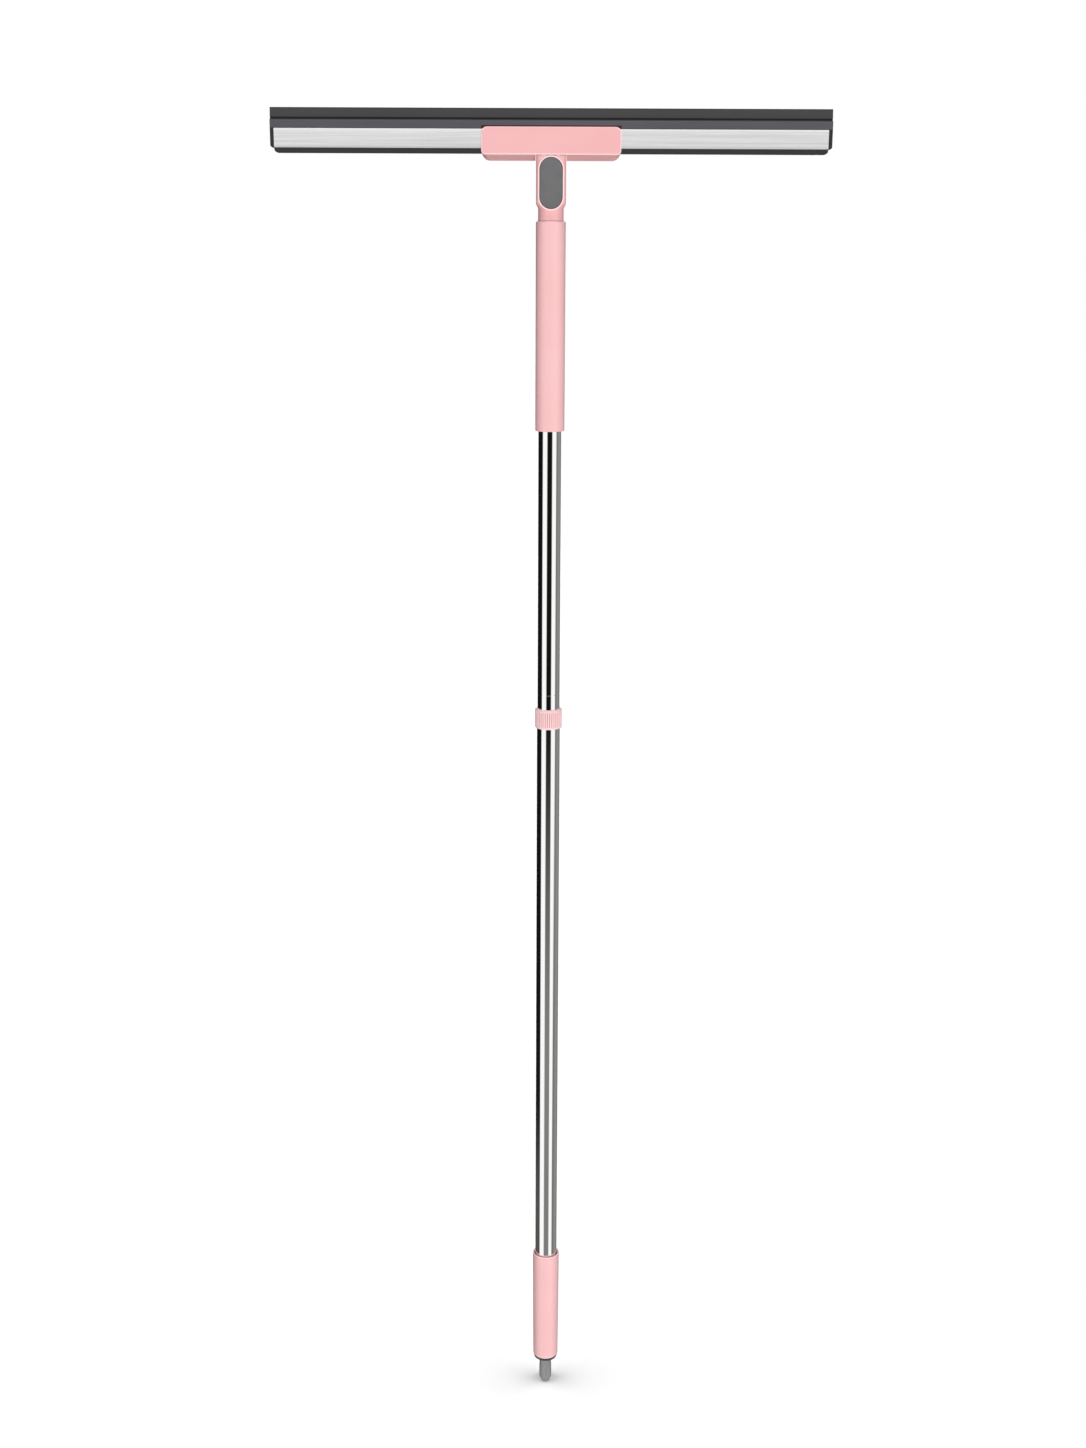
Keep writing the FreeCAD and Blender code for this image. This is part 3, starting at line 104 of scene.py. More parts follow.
class Sheet:
    def __init__(self, tree):
        self.tree = tree
        tree.nodes.clear()

    # a node by its type: its settings go in first, then its sockets
    def add(self, kind, settings, sockets, output=0):
        node = self.tree.nodes.new("ShaderNode" + kind)
        for name, value in settings.items():
            if name == "stops":
                self.setStops(node.color_ramp, value)
            else:
                setattr(node, name, value)
        for name, value in sockets.items():
            if isinstance(value, Wire):
                self.tree.links.new(value.socket, node.inputs[name])
            else:
                node.inputs[name].default_value = value
        return Wire(self, node.outputs[output] if node.outputs else None)

    def setStops(self, ramp, stops):
        while len(ramp.elements) < len(stops):
            ramp.elements.new(1)
        for element, (position, tone) in zip(ramp.elements, stops):
            element.position = position
            element.color = (*tone, 1) if isinstance(tone, tuple) else (tone, tone, tone, 1)

    # the three parts of a vector, each on a wire of its own
    def parts(self, vector):
        split = self.add("SeparateXYZ", {}, {"Vector": vector})
        return [Wire(self, output) for output in split.socket.node.outputs]

    def place(self, stretch=(1, 1, 1)):
        coordinates = self.add("TexCoord", {}, {}, "Object")
        return self.add("Mapping", {}, {"Vector": coordinates, "Scale": stretch})

    # noise whose grains are about the given size, in metres, along each axis
    def grain(self, sizes, detail=2.0, roughness=0.5):
        where = self.place(tuple(1 / amount for amount in sizes))
        return self.add("TexNoise", {}, {"Vector": where, "Scale": 1.0, "Detail": detail,
                                         "Roughness": roughness})

    def blend(self, factor, first, second):
        return self.add("Mix", {"data_type": "RGBA"},
                        {0: factor, 6: (*first, 1) if isinstance(first, tuple) else first,
                         7: (*second, 1) if isinstance(second, tuple) else second}, 2)

    def span(self, value, low, high, start=0.0, end=1.0):
        return self.add("MapRange", {"interpolation_type": "SMOOTHSTEP"},
                        {0: value, 1: low, 2: high, 3: start, 4: end})

    def bump(self, height, depth, strength=1.0):
        return self.add("Bump", {}, {"Height": height, "Distance": depth, "Strength": strength})

    def finish(self, **sockets):
        names = {name: name.replace("_", " ") for name in sockets}
        shader = self.add("BsdfPrincipled", {}, {names[name]: sockets[name] for name in sockets})
        self.add("OutputMaterial", {}, {"Surface": shader})


def newMaterial(name):
    material = bpy.data.materials.new(name)
    material.use_nodes = True
    return material, Sheet(material.node_tree)


def mouldedPlastic(name, look):
    material, sheet = newMaterial(name)
    cloud = sheet.grain((look["cloud"],) * 3, 2.0)
    skin = sheet.grain((look["skin"],) * 3, 3.0)
    tone = sheet.blend(sheet.span(cloud, 0.35, 0.65), look["colour"], look["second"])
    rough = look["gloss"] + look["glossVary"] * (cloud - 0.5) + look["skinVary"] * (skin - 0.5)
    sheet.finish(Base_Color=tone, Roughness=rough, IOR=1.46,
                 Normal=sheet.bump(skin, look["skinDepth"], look["skinStrength"]))
    return material


pinkLook = {"colour": (0.885, 0.468, 0.474), "second": (0.90, 0.485, 0.490), "cloud": 40 * mm,
            "skin": 0.9 * mm, "gloss": 0.25, "glossVary": 0.08, "skinVary": 0.06,
            "skinDepth": 0.02 * mm, "skinStrength": 0.5}
# a lighter pink for the grips, a painted sheen standing in for their gloss highlight
gripSheenLook = {"colour": (0.925, 0.530, 0.535), "second": (0.935, 0.545, 0.55), "cloud": 40 * mm,
            "skin": 0.9 * mm, "gloss": 0.22, "glossVary": 0.08, "skinVary": 0.06,
            "skinDepth": 0.02 * mm, "skinStrength": 0.5}
greyLook = {"colour": (0.140, 0.140, 0.144), "second": (0.152, 0.152, 0.156), "cloud": 9 * mm,
            "skin": 0.35 * mm, "gloss": 0.52, "glossVary": 0.10, "skinVary": 0.2,
            "skinDepth": 0.03 * mm, "skinStrength": 0.8}
# a lighter pink: painted highlight on rounded edges, rims, the bezel and the lock ring's crowns
highlightLook = {"colour": (0.98, 0.72, 0.725), "second": (0.99, 0.74, 0.745), "cloud": 40 * mm,
           "skin": 0.9 * mm, "gloss": 0.18, "glossVary": 0.06, "skinVary": 0.05,
           "skinDepth": 0.02 * mm, "skinStrength": 0.3}
# a dark pink: painted shade in the lock ring's grooves
shadeLook = {"colour": (0.58, 0.22, 0.24), "second": (0.62, 0.25, 0.27), "cloud": 20 * mm,
              "skin": 0.9 * mm, "gloss": 0.4, "glossVary": 0.06, "skinVary": 0.05,
              "skinDepth": 0.02 * mm, "skinStrength": 0.3}
tabLook = {"colour": (0.225, 0.226, 0.234), "second": (0.29, 0.29, 0.30), "cloud": 1.2 * mm,
           "skin": 0.3 * mm, "gloss": 0.55, "glossVary": 0.10, "skinVary": 0.2,
           "skinDepth": 0.04 * mm, "skinStrength": 0.9}
# near black: the cap's flange, and painted shade round the button's edge
flangeAndShadeLook = {"colour": (0.050, 0.050, 0.054), "second": (0.060, 0.060, 0.064), "cloud": 6 * mm,
              "skin": 0.35 * mm, "gloss": 0.5, "glossVary": 0.10, "skinVary": 0.2,
              "skinDepth": 0.03 * mm, "skinStrength": 0.8}
blackLook = {"colour": (0.018, 0.018, 0.019), "second": (0.022, 0.022, 0.023), "cloud": 12 * mm,
             "skin": 0.4 * mm, "gloss": 0.45, "glossVary": 0.10, "skinVary": 0.2,
             "skinDepth": 0.02 * mm, "skinStrength": 0.6}
nylonLook = {"colour": (0.74, 0.73, 0.69), "second": (0.78, 0.77, 0.73), "cloud": 8 * mm,
             "skin": 0.4 * mm, "gloss": 0.5, "glossVary": 0.10, "skinVary": 0.15,
             "skinDepth": 0.02 * mm, "skinStrength": 0.5}
padLook = {"colour": (0.030, 0.028, 0.028), "second": (0.040, 0.038, 0.037), "cloud": 2 * mm,
           "skin": 0.25 * mm, "gloss": 0.82, "glossVary": 0.05, "skinVary": 0.1,
           "skinDepth": 0.04 * mm, "skinStrength": 0.8}


extrusionSkin = {"lines": (60 * mm, 0.5 * mm, 0.5 * mm), "cloud": (90 * mm, 8 * mm, 8 * mm),
                 "glossVary": 0.2, "depth": 0.02 * mm, "strength": 0.5}


# drawn along X: the lines run the length of the bar, and each dark line, painted shade, has its own
# limits
def extrudedPlastic(name, look):
    material, sheet = newMaterial(name)
    lines = sheet.grain(extrusionSkin["lines"], 3.0, 0.6)
    cloud = sheet.grain(extrusionSkin["cloud"], 2.0)
    mixed = sheet.span(lines * 0.5 + cloud * 0.5, 0.3, 0.7)
    tone = sheet.blend(mixed, look["colour"], look["second"])
    along, deep, height = sheet.parts(sheet.place())
    along = sheet.add("Math", {"operation": "ABSOLUTE"}, {0: along})
    for start, end, reach, back, paintedShadeTone in look["lines"]:
        mask = (height > start) * (1 - (height > end)) * (1 - (along > reach)) * (1 - (deep > back))
        tone = sheet.blend(mask, tone, paintedShadeTone)
    sheet.finish(Base_Color=tone, Roughness=look["gloss"] + extrusionSkin["glossVary"] * (lines - 0.5),
                 Normal=sheet.bump(lines, extrusionSkin["depth"], extrusionSkin["strength"]))
    return material


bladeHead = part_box("squeegee_blade")[1].z
channelFront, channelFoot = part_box("blade_channel")[0].y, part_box("blade_channel")[0].z
carrierFoot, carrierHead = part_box("blade_channel")[1].z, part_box("blade_carrier")[1].z
coverSide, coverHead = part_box("bracket_front_cover")[1].x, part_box("bracket_front_cover")[1].z
# each line: its foot and head, how far it reaches to the sides and to the back, and its colour; every
# line is painted shade
whole = 1                # further than any piece reaches, in metres
rubberLook = {"colour": (0.038, 0.038, 0.038), "second": (0.045, 0.045, 0.0445), "gloss": 0.62,
              # painted shade: a dark line along the blade's rounded top edge, and the crease where the
              # blade leaves the carrier
              "lines": [(bladeHead - 0.7 * mm, bladeHead + 1 * mm, whole, whole,
                         (0.012, 0.012, 0.012)),
                        (0, carrierHead + 1.75 * mm, whole, whole, (0.008, 0.008, 0.009))]}
carrierLook = {"colour": (0.074, 0.072, 0.084), "second": (0.090, 0.088, 0.100), "gloss": 0.48,
               # painted shade: along the joint with the channel, in the crease at the carrier's top,
               # and on its front just above the bracket cover
               "lines": [(0, carrierFoot + 0.6 * mm, whole, whole, (0.045, 0.044, 0.050)),
                         (carrierHead - 1.1 * mm, carrierHead + 1 * mm, whole, whole,
                          (0.030, 0.030, 0.034)),
                         (0, coverHead + 1.2 * mm, coverSide, channelFront + 2 * mm,
                          (0.030, 0.010, 0.014))]}
trimLook = {"colour": (0.022, 0.022, 0.023), "second": (0.030, 0.030, 0.031), "gloss": 0.5,
            "lines": []}
brushedLook = {"fine": (45 * mm, 0.22 * mm, 0.22 * mm), "broad": (160 * mm, 1.6 * mm, 1.6 * mm),
               "dark": (0.76, 0.76, 0.765), "light": (0.95, 0.95, 0.955),
               # head: painted highlight colour near the top edge; foot: painted shade colour near the
               # curled-under lower edge
               "head": (1.0, 1.0, 1.0), "headReach": (3 * mm, 1 * mm), "headShare": 0.8,
               "foot": (0.62, 0.62, 0.63), "footReach": (0.6 * mm, 3.5 * mm), "footShare": 0.55,
               "metal": 0.35, "gloss": 0.36, "glossVary": 0.22, "depth": 0.02 * mm, "strength": 0.6}
polishedLook = {"hair": (0.25 * mm, 0.25 * mm, 90 * mm), "haze": (7 * mm, 7 * mm, 60 * mm),
                "dark": (0.93, 0.925, 0.915), "light": (0.97, 0.965, 0.955), "gloss": 0.03,
                "hairVary": 0.03, "hazeVary": 0.02, "depth": 0.004 * mm, "strength": 0.4}
platedLook = {"mottle": (1.2 * mm,) * 3, "dark": (0.50, 0.50, 0.51), "light": (0.68, 0.68, 0.69),
              "gloss": 0.26, "glossVary": 0.2, "depth": 0.01 * mm, "strength": 0.4}


# drawn along X, with a painted highlight towards its head and painted shade towards its foot
def brushedMetal(name, look):
    material, sheet = newMaterial(name)
    fine = sheet.grain(look["fine"], 4.0, 0.65)
    streaks = fine * 0.55 + sheet.grain(look["broad"], 2.0) * 0.45
    tone = sheet.blend(sheet.span(streaks, 0.36, 0.64), look["dark"], look["light"])
    height = sheet.parts(sheet.place())[2]
    # a painted highlight along the top edge, and painted shade where the lower edge curls under
    above, below = look["headReach"]
    upper = sheet.span(height, carrierFoot - above, carrierFoot - below, 0, look["headShare"])
    near, far = look["footReach"]
    lower = sheet.span(height, channelFoot + near, channelFoot + far, look["footShare"], 0)
    tone = sheet.blend(lower, sheet.blend(upper, tone, look["head"]), look["foot"])
    sheet.finish(Base_Color=tone, Metallic=look["metal"],
                 Roughness=look["gloss"] + look["glossVary"] * (fine - 0.5),
                 Normal=sheet.bump(fine, look["depth"], look["strength"]))
    return material


# drawn along Z: hair lines run up the pole and are hardly seen
def polishedMetal(name, look):
    material, sheet = newMaterial(name)
    hair = sheet.grain(look["hair"], 3.0, 0.6)
    haze = sheet.grain(look["haze"], 2.0)
    tone = sheet.blend(sheet.span(hair, 0.3, 0.7), look["dark"], look["light"])
    rough = look["gloss"] + look["hairVary"] * hair + look["hazeVary"] * haze
    sheet.finish(Base_Color=tone, Metallic=1.0, Roughness=rough,
                 Normal=sheet.bump(hair, look["depth"], look["strength"]))
    return material


def platedSteel(name, look):
    material, sheet = newMaterial(name)
    mottle = sheet.grain(look["mottle"], 3.0)
    tone = sheet.blend(mottle, look["dark"], look["light"])
    sheet.finish(Base_Color=tone, Metallic=1.0, Roughness=look["gloss"] + look["glossVary"] * mottle,
                 Normal=sheet.bump(mottle, look["depth"], look["strength"]))
    return material


paints = {
    "pink_plastic": mouldedPlastic("pinkPlastic", pinkLook),
    "grey_plastic": mouldedPlastic("greyPlastic", greyLook),
    "black_plastic": mouldedPlastic("blackPlastic", blackLook),
    "white_nylon": mouldedPlastic("whiteNylon", nylonLook),
    "brake_rubber": mouldedPlastic("brakeRubber", padLook),
    "carrier_plastic": extrudedPlastic("carrierPlastic", carrierLook),
    "trim_plastic": extrudedPlastic("trimPlastic", trimLook),
    "blade_rubber": extrudedPlastic("bladeRubber", rubberLook),
    "brushed_aluminium": brushedMetal("brushedAluminium", brushedLook),
    "polished_tube": polishedMetal("polishedTube", polishedLook),
    "steel_hardware": platedSteel("platedSteel", platedLook),
}
print("materials made:", len(paints))

# which finish each piece has
slotNodes = {
    "pink_plastic": ["lower_grip", "lock_ring", "upper_grip", "neck_body", "neck_rear_cover",
                     "bracket_front_cover", "bracket_rear_housing"],
    "grey_plastic": ["hanger_cap", "release_button"],
    "black_plastic": ["end_cap_left", "end_cap_right", "brake_drum"],
    "white_nylon": ["lock_collet", "guide_ring", "tube_end_plug", "brake_slider"],
    "brake_rubber": ["brake_pad"],
    "carrier_plastic": ["blade_carrier"],
    "trim_plastic": ["lower_trim"],
    "blade_rubber": ["squeegee_blade"],
    "brushed_aluminium": ["blade_channel"],
    "polished_tube": ["lower_tube", "upper_tube"],
    "steel_hardware": ["cap_cross_pin", "neck_cross_pin", "neck_cover_screws", "brake_spring",
                       "bracket_screws", "hinge_pin", "hinge_washers", "pin_clips"],
}

# shades of the same plastics: the grips' lighter pink, standing in for their sheen, painted highlight
# on rims, painted shade in grooves, and the dark grey flange, which also paints shade round the
# button's edge
gripSheenPaint = mouldedPlastic("gripSheenPlastic", gripSheenLook)
paintedHighlight = mouldedPlastic("paintedHighlightPlastic", highlightLook)
paintedShade = mouldedPlastic("paintedShadePlastic", shadeLook)
flangeAndShadePaint = mouldedPlastic("flangeAndShadePlastic", flangeAndShadeLook)
ownPaint = {"upper_grip": gripSheenPaint, "lower_grip": gripSheenPaint, "lock_ring": gripSheenPaint,
            "hanger_cap": mouldedPlastic("tabPlastic", tabLook)}
slotOf = {node: slot for slot, nodes in slotNodes.items() for node in nodes}


def paintOf(node):
    return ownPaint.get(node, paints[slotOf[node]])


for node, piece in frame["nodes"].items():
    piece.data.materials.clear()
    piece.data.materials.append(paintOf(node))


# ways of shaping
def newLoop(bm, points):
    verts = [bm.verts.new(point) for point in points]
    edges = [bm.edges.new((verts[step - 1], verts[step])) for step in range(len(verts))]
    return verts, edges


# a closed half outline of (radius, height) corners, turned about the pole
def turned(profile, sides):
    bm = bmesh.new()
    verts, edges = newLoop(bm, [(radius, 0, height) for radius, height in profile])
    bmesh.ops.spin(bm, geom=verts + edges, cent=(0, 0, 0), axis=(0, 0, 1), angle=math.tau,
                   steps=sides, use_merge=True)
    bmesh.ops.remove_doubles(bm, verts=bm.verts, dist=weld)
    return bm


# a closed section of (depth, height) corners, drawn out along X
def drawnOut(section, start, end):
    bm = bmesh.new()
    verts, edges = newLoop(bm, [(start, depth, height) for depth, height in section])
    face = bm.faces.new(verts)
    made = bmesh.ops.extrude_face_region(bm, geom=[face], use_keep_orig=True)
    moved = [item for item in made["geom"] if isinstance(item, bmesh.types.BMVert)]
    bmesh.ops.translate(bm, verts=moved, vec=(end - start, 0, 0))
    return bm


# points of an arc round a centre, from one angle to another
def arcPoints(across, up, radius, start, end, steps):
    turns = [start + (end - start) * step / steps for step in range(steps + 1)]
    return [(across + radius * math.cos(turn), up + radius * math.sin(turn)) for turn in turns]


def soften(bm, radius, segments, wanted, paint=-1):
    edges = [edge for edge in bm.edges if wanted(*middleAndRun(edge))]
    bmesh.ops.bevel(bm, geom=edges, offset=radius, offset_type="OFFSET", segments=segments,
                    profile=0.5, affect="EDGES", material=paint, clamp_overlap=True)


def middleAndRun(edge):
    start, end = edge.verts[0].co, edge.verts[1].co
    run = end - start
    return (start + end) / 2, run.normalized() if run.length > 0 else run


def same(first, second):
    return abs(first - second) < closeBy


# round the ring-shaped edges that lie at one radius and height of a turned piece
def softenRing(bm, radius, height, size, segments=4, paint=-1):
    edges = []
    for edge in bm.edges:
        if all(same(vert.co.z, height) and same(math.hypot(vert.co.x, vert.co.y), radius)
               for vert in edge.verts):
            edges.append(edge)
    bmesh.ops.bevel(bm, geom=edges, offset=size, offset_type="OFFSET", segments=segments,
                    profile=0.5, affect="EDGES", material=paint, clamp_overlap=True)


def finishPiece(bm, name, node, sharp=32, more=()):
    bmesh.ops.remove_doubles(bm, verts=bm.verts, dist=weld)
    bmesh.ops.recalc_face_normals(bm, faces=bm.faces)
    mesh = bpy.data.meshes.new(name)
    bm.to_mesh(mesh)
    bm.free()
    mesh.shade_smooth()
    mesh.set_sharp_from_angle(angle=math.radians(sharp))
    for paint in (paintOf(node), *more):
        mesh.materials.append(paint)
    piece = bpy.data.objects.new(name, mesh)
    bpy.context.scene.collection.objects.link(piece)
    weights = piece.modifiers.new("Normals", "WEIGHTED_NORMAL")
    weights.keep_sharp = True
    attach(piece, bodyOf[node])
    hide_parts(node)
    print("made", name, len(mesh.vertices), "points")
    return piece


# tubes
tubeSizes = {"wall": 0.3 * mm, "rim": 0.12 * mm, "sides": 128, "lineUp": 751 * mm,
             "lineWidth": 0.9 * mm, "lineDepth": 0.16 * mm, "lineFloor": 0.3}


def makeLowerTube():
    low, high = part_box("lower_tube")
    outer, inner = high.x, high.x - tubeSizes["wall"]
    bm = turned([(outer, low.z), (outer, high.z), (inner, high.z), (inner, low.z)],
                tubeSizes["sides"])
    softenRing(bm, outer, high.z, tubeSizes["rim"], 2)
    finishPiece(bm, "lowerTubeSkin", "lower_tube")


def makeUpperTube():
    low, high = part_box("upper_tube")
    outer, inner = high.x, high.x - tubeSizes["wall"]
    line, half = tubeSizes["lineUp"], tubeSizes["lineWidth"] / 2
    bottom, floor = outer - tubeSizes["lineDepth"], half * tubeSizes["lineFloor"]
    bm = turned([(outer, low.z), (outer, line - half), (bottom, line - floor),
                 (bottom, line + floor), (outer, line + half), (outer, high.z),
                 (inner, high.z), (inner, low.z)], tubeSizes["sides"])
    finishPiece(bm, "upperTubeSkin", "upper_tube")


makeLowerTube()
makeUpperTube()

# grips
gripSizes = {"sides": 112, "shoulder": 1.8 * mm, "heel": 1.2 * mm, "fit": 0.05 * mm,
             "footRadius": 13.0 * mm, "mouthRadius": 12.6 * mm, "mouthDepth": 5 * mm,
             "mouthLip": 0.45 * mm, "mouthEdge": 0.3 * mm, "footRound": 1.7 * mm,
             "boreRound": 0.25 * mm}


def makeUpperGrip():
    low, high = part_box("upper_grip")
    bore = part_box("upper_tube")[1].x + gripSizes["fit"]
    bm = turned([(bore, low.z), (high.x, low.z), (high.x, high.z), (bore, high.z)],
                gripSizes["sides"])
    softenRing(bm, high.x, high.z, gripSizes["shoulder"], 6)
    softenRing(bm, high.x, low.z, gripSizes["heel"], 5)
    softenRing(bm, bore, low.z, gripSizes["boreRound"], 2)
    finishPiece(bm, "upperGripSkin", "upper_grip")


def makeLowerGrip():
    low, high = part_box("lower_grip")
    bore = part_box("lower_tube")[1].x + gripSizes["fit"]
    foot, mouth = gripSizes["footRadius"], gripSizes["mouthRadius"]
    bm = turned([(bore, low.z), (foot, low.z), (high.x, high.z), (mouth, high.z),
                 (bore, high.z - gripSizes["mouthDepth"])], gripSizes["sides"])
    # the foot's rounding and the mouth's lip and edge carry a painted highlight
    softenRing(bm, foot, low.z, gripSizes["footRound"], 6, paint=1)
    softenRing(bm, high.x, high.z, gripSizes["mouthLip"], 4, paint=1)
    softenRing(bm, mouth, high.z, gripSizes["mouthEdge"], 3, paint=1)
    finishPiece(bm, "lowerGripSkin", "lower_grip", more=[paintedHighlight])


makeUpperGrip()
makeLowerGrip()

# lock ring: ribs all round, which stop short of its chamfered ends
ringSizes = {"ribs": 36, "stepsPerRib": 8, "ribDepth": 0.7 * mm, "sharpness": 3,
             "chamfer": 0.8 * mm, "chamferHeight": 1.1 * mm, "lip": 1.6 * mm, "collet": 12 * mm,
             "lipGap": 0.3 * mm, "plain": 1.2 * mm, "boreSkin": 0.1 * mm}
# in chamfer heights: where the ribs start and where the painted highlight on the ends stops; in rib
# depths: crown (painted highlight) and groove (painted shade)
ringShades = {"ribs": 1.5, "lightFoot": 0.6, "lightHead": 0.2, "crown": 0.3, "groove": 0.75}


def makeLockRing():
    low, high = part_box("lock_ring")
    outer = high.x
    collet, lip = ringSizes["collet"], high.z - ringSizes["lip"]
    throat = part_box("upper_tube")[1].x + ringSizes["lipGap"]
    cut, rise = ringSizes["chamfer"], ringSizes["chamferHeight"]
    plain = ringSizes["plain"]
    bm = turned([(collet, low.z), (outer - cut, low.z), (outer, low.z + rise),
                 (outer, low.z + rise + plain), (outer, high.z - rise - plain),
                 (outer, high.z - rise), (outer - cut, high.z), (throat, high.z),
                 (throat, lip), (collet, lip)], ringSizes["ribs"] * ringSizes["stepsPerRib"])
    ribStart = rise * ringShades["ribs"]
    for vert in bm.verts:
        radius = math.hypot(vert.co.x, vert.co.y)
        if low.z + ribStart < vert.co.z < high.z - ribStart and same(radius, outer):
            turn = math.atan2(vert.co.y, vert.co.x) * ringSizes["ribs"]
            depth = ringSizes["ribDepth"] * (0.5 - 0.5 * math.cos(turn)) ** ringSizes["sharpness"]
            vert.co.xy *= 1 - depth / radius
    lightFoot = low.z + rise * ringShades["lightFoot"]
    lightHead = high.z - rise * ringShades["lightHead"]
    for face in bm.faces:      # painted highlight on the ends and crowns, painted shade in the grooves
        middle = face.calc_center_median()
        away = math.hypot(middle.x, middle.y)
        depth = (outer - away) / ringSizes["ribDepth"]
        if not lightFoot < middle.z < lightHead:
            face.material_index = 1
        elif low.z + rise < middle.z < high.z - rise and away > collet + ringSizes["boreSkin"]:
            if depth < ringShades["crown"]:
                face.material_index = 1
            elif depth > ringShades["groove"]:
                face.material_index = 2
    finishPiece(bm, "lockRingSkin", "lock_ring", sharp=50, more=[paintedHighlight, paintedShade])


makeLockRing()

# hanger cap: flange, plug in the tube, and a rounded tab with the hanging hole
capSizes = {"flangeRound": 1.3 * mm, "tabRound": 4.6 * mm, "holeRound": 0.9 * mm, "hole": 4.5 * mm,
            "half": 6.4 * mm, "tab": 10 * mm, "flange": 17.7 * mm, "flangeHeight": 3 * mm,
            "plug": 10.8 * mm, "bore": 8.8 * mm, "plugFloor": 1 * mm, "plateEdge": 0.4 * mm,
            "tabRoot": 0.3 * mm, "waist": 0.6 * mm, "sides": 96, "rows": 8, "arc": 48}


# the tab's outline round its hole, drawn in by an inset: a half circle and two straight sides
def tabOutline(inset):
    reach, top = capSizes["tab"] - inset, capSizes["flange"] + capSizes["tabRoot"]
    return [(-reach, top)] + arcPoints(0, 0, reach, -math.pi, 0, capSizes["arc"]) + [(reach, top)]


def makeHangerCap():
    low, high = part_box("hanger_cap")
    bm = bmesh.new()
    half, corner, rows = capSizes["half"], capSizes["tabRound"], capSizes["rows"]
    # rows across the tab: its edges roll in towards its two flat sides
    rolled = [(half - corner + back, corner - rise) for back, rise in
              arcPoints(0, 0, corner, 0, math.pi / 2, rows)]
    stations = [(-across, inset) for across, inset in rolled] + rolled[::-1]
    loops = []
    for across, inset in stations:
        loops.append([bm.verts.new((across, depth, up)) for depth, up in tabOutline(inset)])
    for first, second in zip(loops, loops[1:]):
        for step in range(len(first)):
            bm.faces.new((first[step - 1], first[step], second[step], second[step - 1]))
    rings = []
    for side, loop in ((-1, loops[0]), (1, loops[-1])):
        hole = [bm.verts.new((side * half, depth, up)) for depth, up in
                arcPoints(0, 0, capSizes["hole"], 0, math.tau, capSizes["arc"])[:-1]]
        for step in range(len(hole)):
            bm.edges.new((hole[step - 1], hole[step]))
        bmesh.ops.triangle_fill(bm, use_beauty=True, edges=loopEdges(loop) + loopEdges(hole))
        rings.append(hole)
    for step in range(len(rings[0])):
        bm.faces.new((rings[0][step - 1], rings[0][step], rings[1][step], rings[1][step - 1]))
    soften(bm, capSizes["holeRound"], 4, lambda middle, run: (
        same(abs(middle.x), half) and math.hypot(middle.y, middle.z) < capSizes["hole"] + closeBy))
    for vert in bm.verts:      # the stem narrows a little up to the flange
        share = max(0, vert.co.z / capSizes["flange"])
        vert.co.x *= 1 - capSizes["waist"] / half * share ** 2
    plateFoot, plug, bore = capSizes["flange"], capSizes["plug"], capSizes["bore"]
    plateTop = plateFoot + capSizes["flangeHeight"]
    plugFloor = plateTop + capSizes["plugFloor"]
    plate = turned([(0, plateFoot), (high.x, plateFoot), (high.x, plateTop), (plug, plateTop),
                    (plug, high.z), (bore, high.z), (bore, plugFloor), (0, plugFloor)],
                   capSizes["sides"])
    softenRing(plate, high.x, plateFoot, capSizes["flangeRound"], 5)
    softenRing(plate, high.x, plateTop, capSizes["plateEdge"], 2)
    joinInto(bm, plate)
    # the flange is smooth and dark, the tab below it speckled
    for face in bm.faces:
        face.material_index = int(face.calc_center_median().z > plateFoot)
    finishPiece(bm, "hangerCapSkin", "hanger_cap", sharp=40, more=[flangeAndShadePaint])


def loopEdges(verts):
    chosen = set(verts)
    return [edge for edge in {edge for vert in verts for edge in vert.link_edges}
            if set(edge.verts) <= chosen]


def joinInto(bm, other):
    mesh = bpy.data.meshes.new("joined")
    other.to_mesh(mesh)
    other.free()
    bm.from_mesh(mesh)
    bpy.data.meshes.remove(mesh)


makeHangerCap()

# blade, its carrier, the aluminium channel, the trim and the end caps
bladeSizes = {"root": 2.4 * mm, "lip": 3.6 * mm, "edge": 1.8 * mm, "lipFoot": 8.8 * mm,
              "step": 0.4 * mm, "cornerRound": 1.2 * mm, "lipRound": 0.35 * mm, "straight": 0.35}
carrierSizes = {"half": 4.5 * mm, "taper": 1.3 * mm, "round": 0.25 * mm, "foot": 3.75 * mm,
                "neck": 1.95 * mm, "grooveDepth": 5 * mm, "lap": 0.5 * mm}
channelSizes = {"wall": 1.2 * mm, "web": 1 * mm, "lip": 1.8 * mm, "lowerSlot": 3.4 * mm,
                "upperSlot": 4 * mm, "topRound": 0.45 * mm, "footRound": 1.1 * mm}
trimSizes = {"half": 4 * mm, "round": 0.4 * mm, "corner": 3 * mm, "neck": 1.95 * mm,
             "foot": 3.75 * mm, "lap": 0.5 * mm, "seatBand": 0.1 * mm}
capPlate = {"corner": 2.2 * mm, "round": 0.6 * mm}
channelLow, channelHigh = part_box("blade_channel")
headMiddle = (channelLow.y + channelHigh.y) / 2
fit = 0.05 * mm


# the front half of a section, listed from its lowest corner up, gets its back half
def mirrored(half):
    return ([(headMiddle - depth, height) for depth, height in half]
            + [(headMiddle + depth, height) for depth, height in reversed(half)])


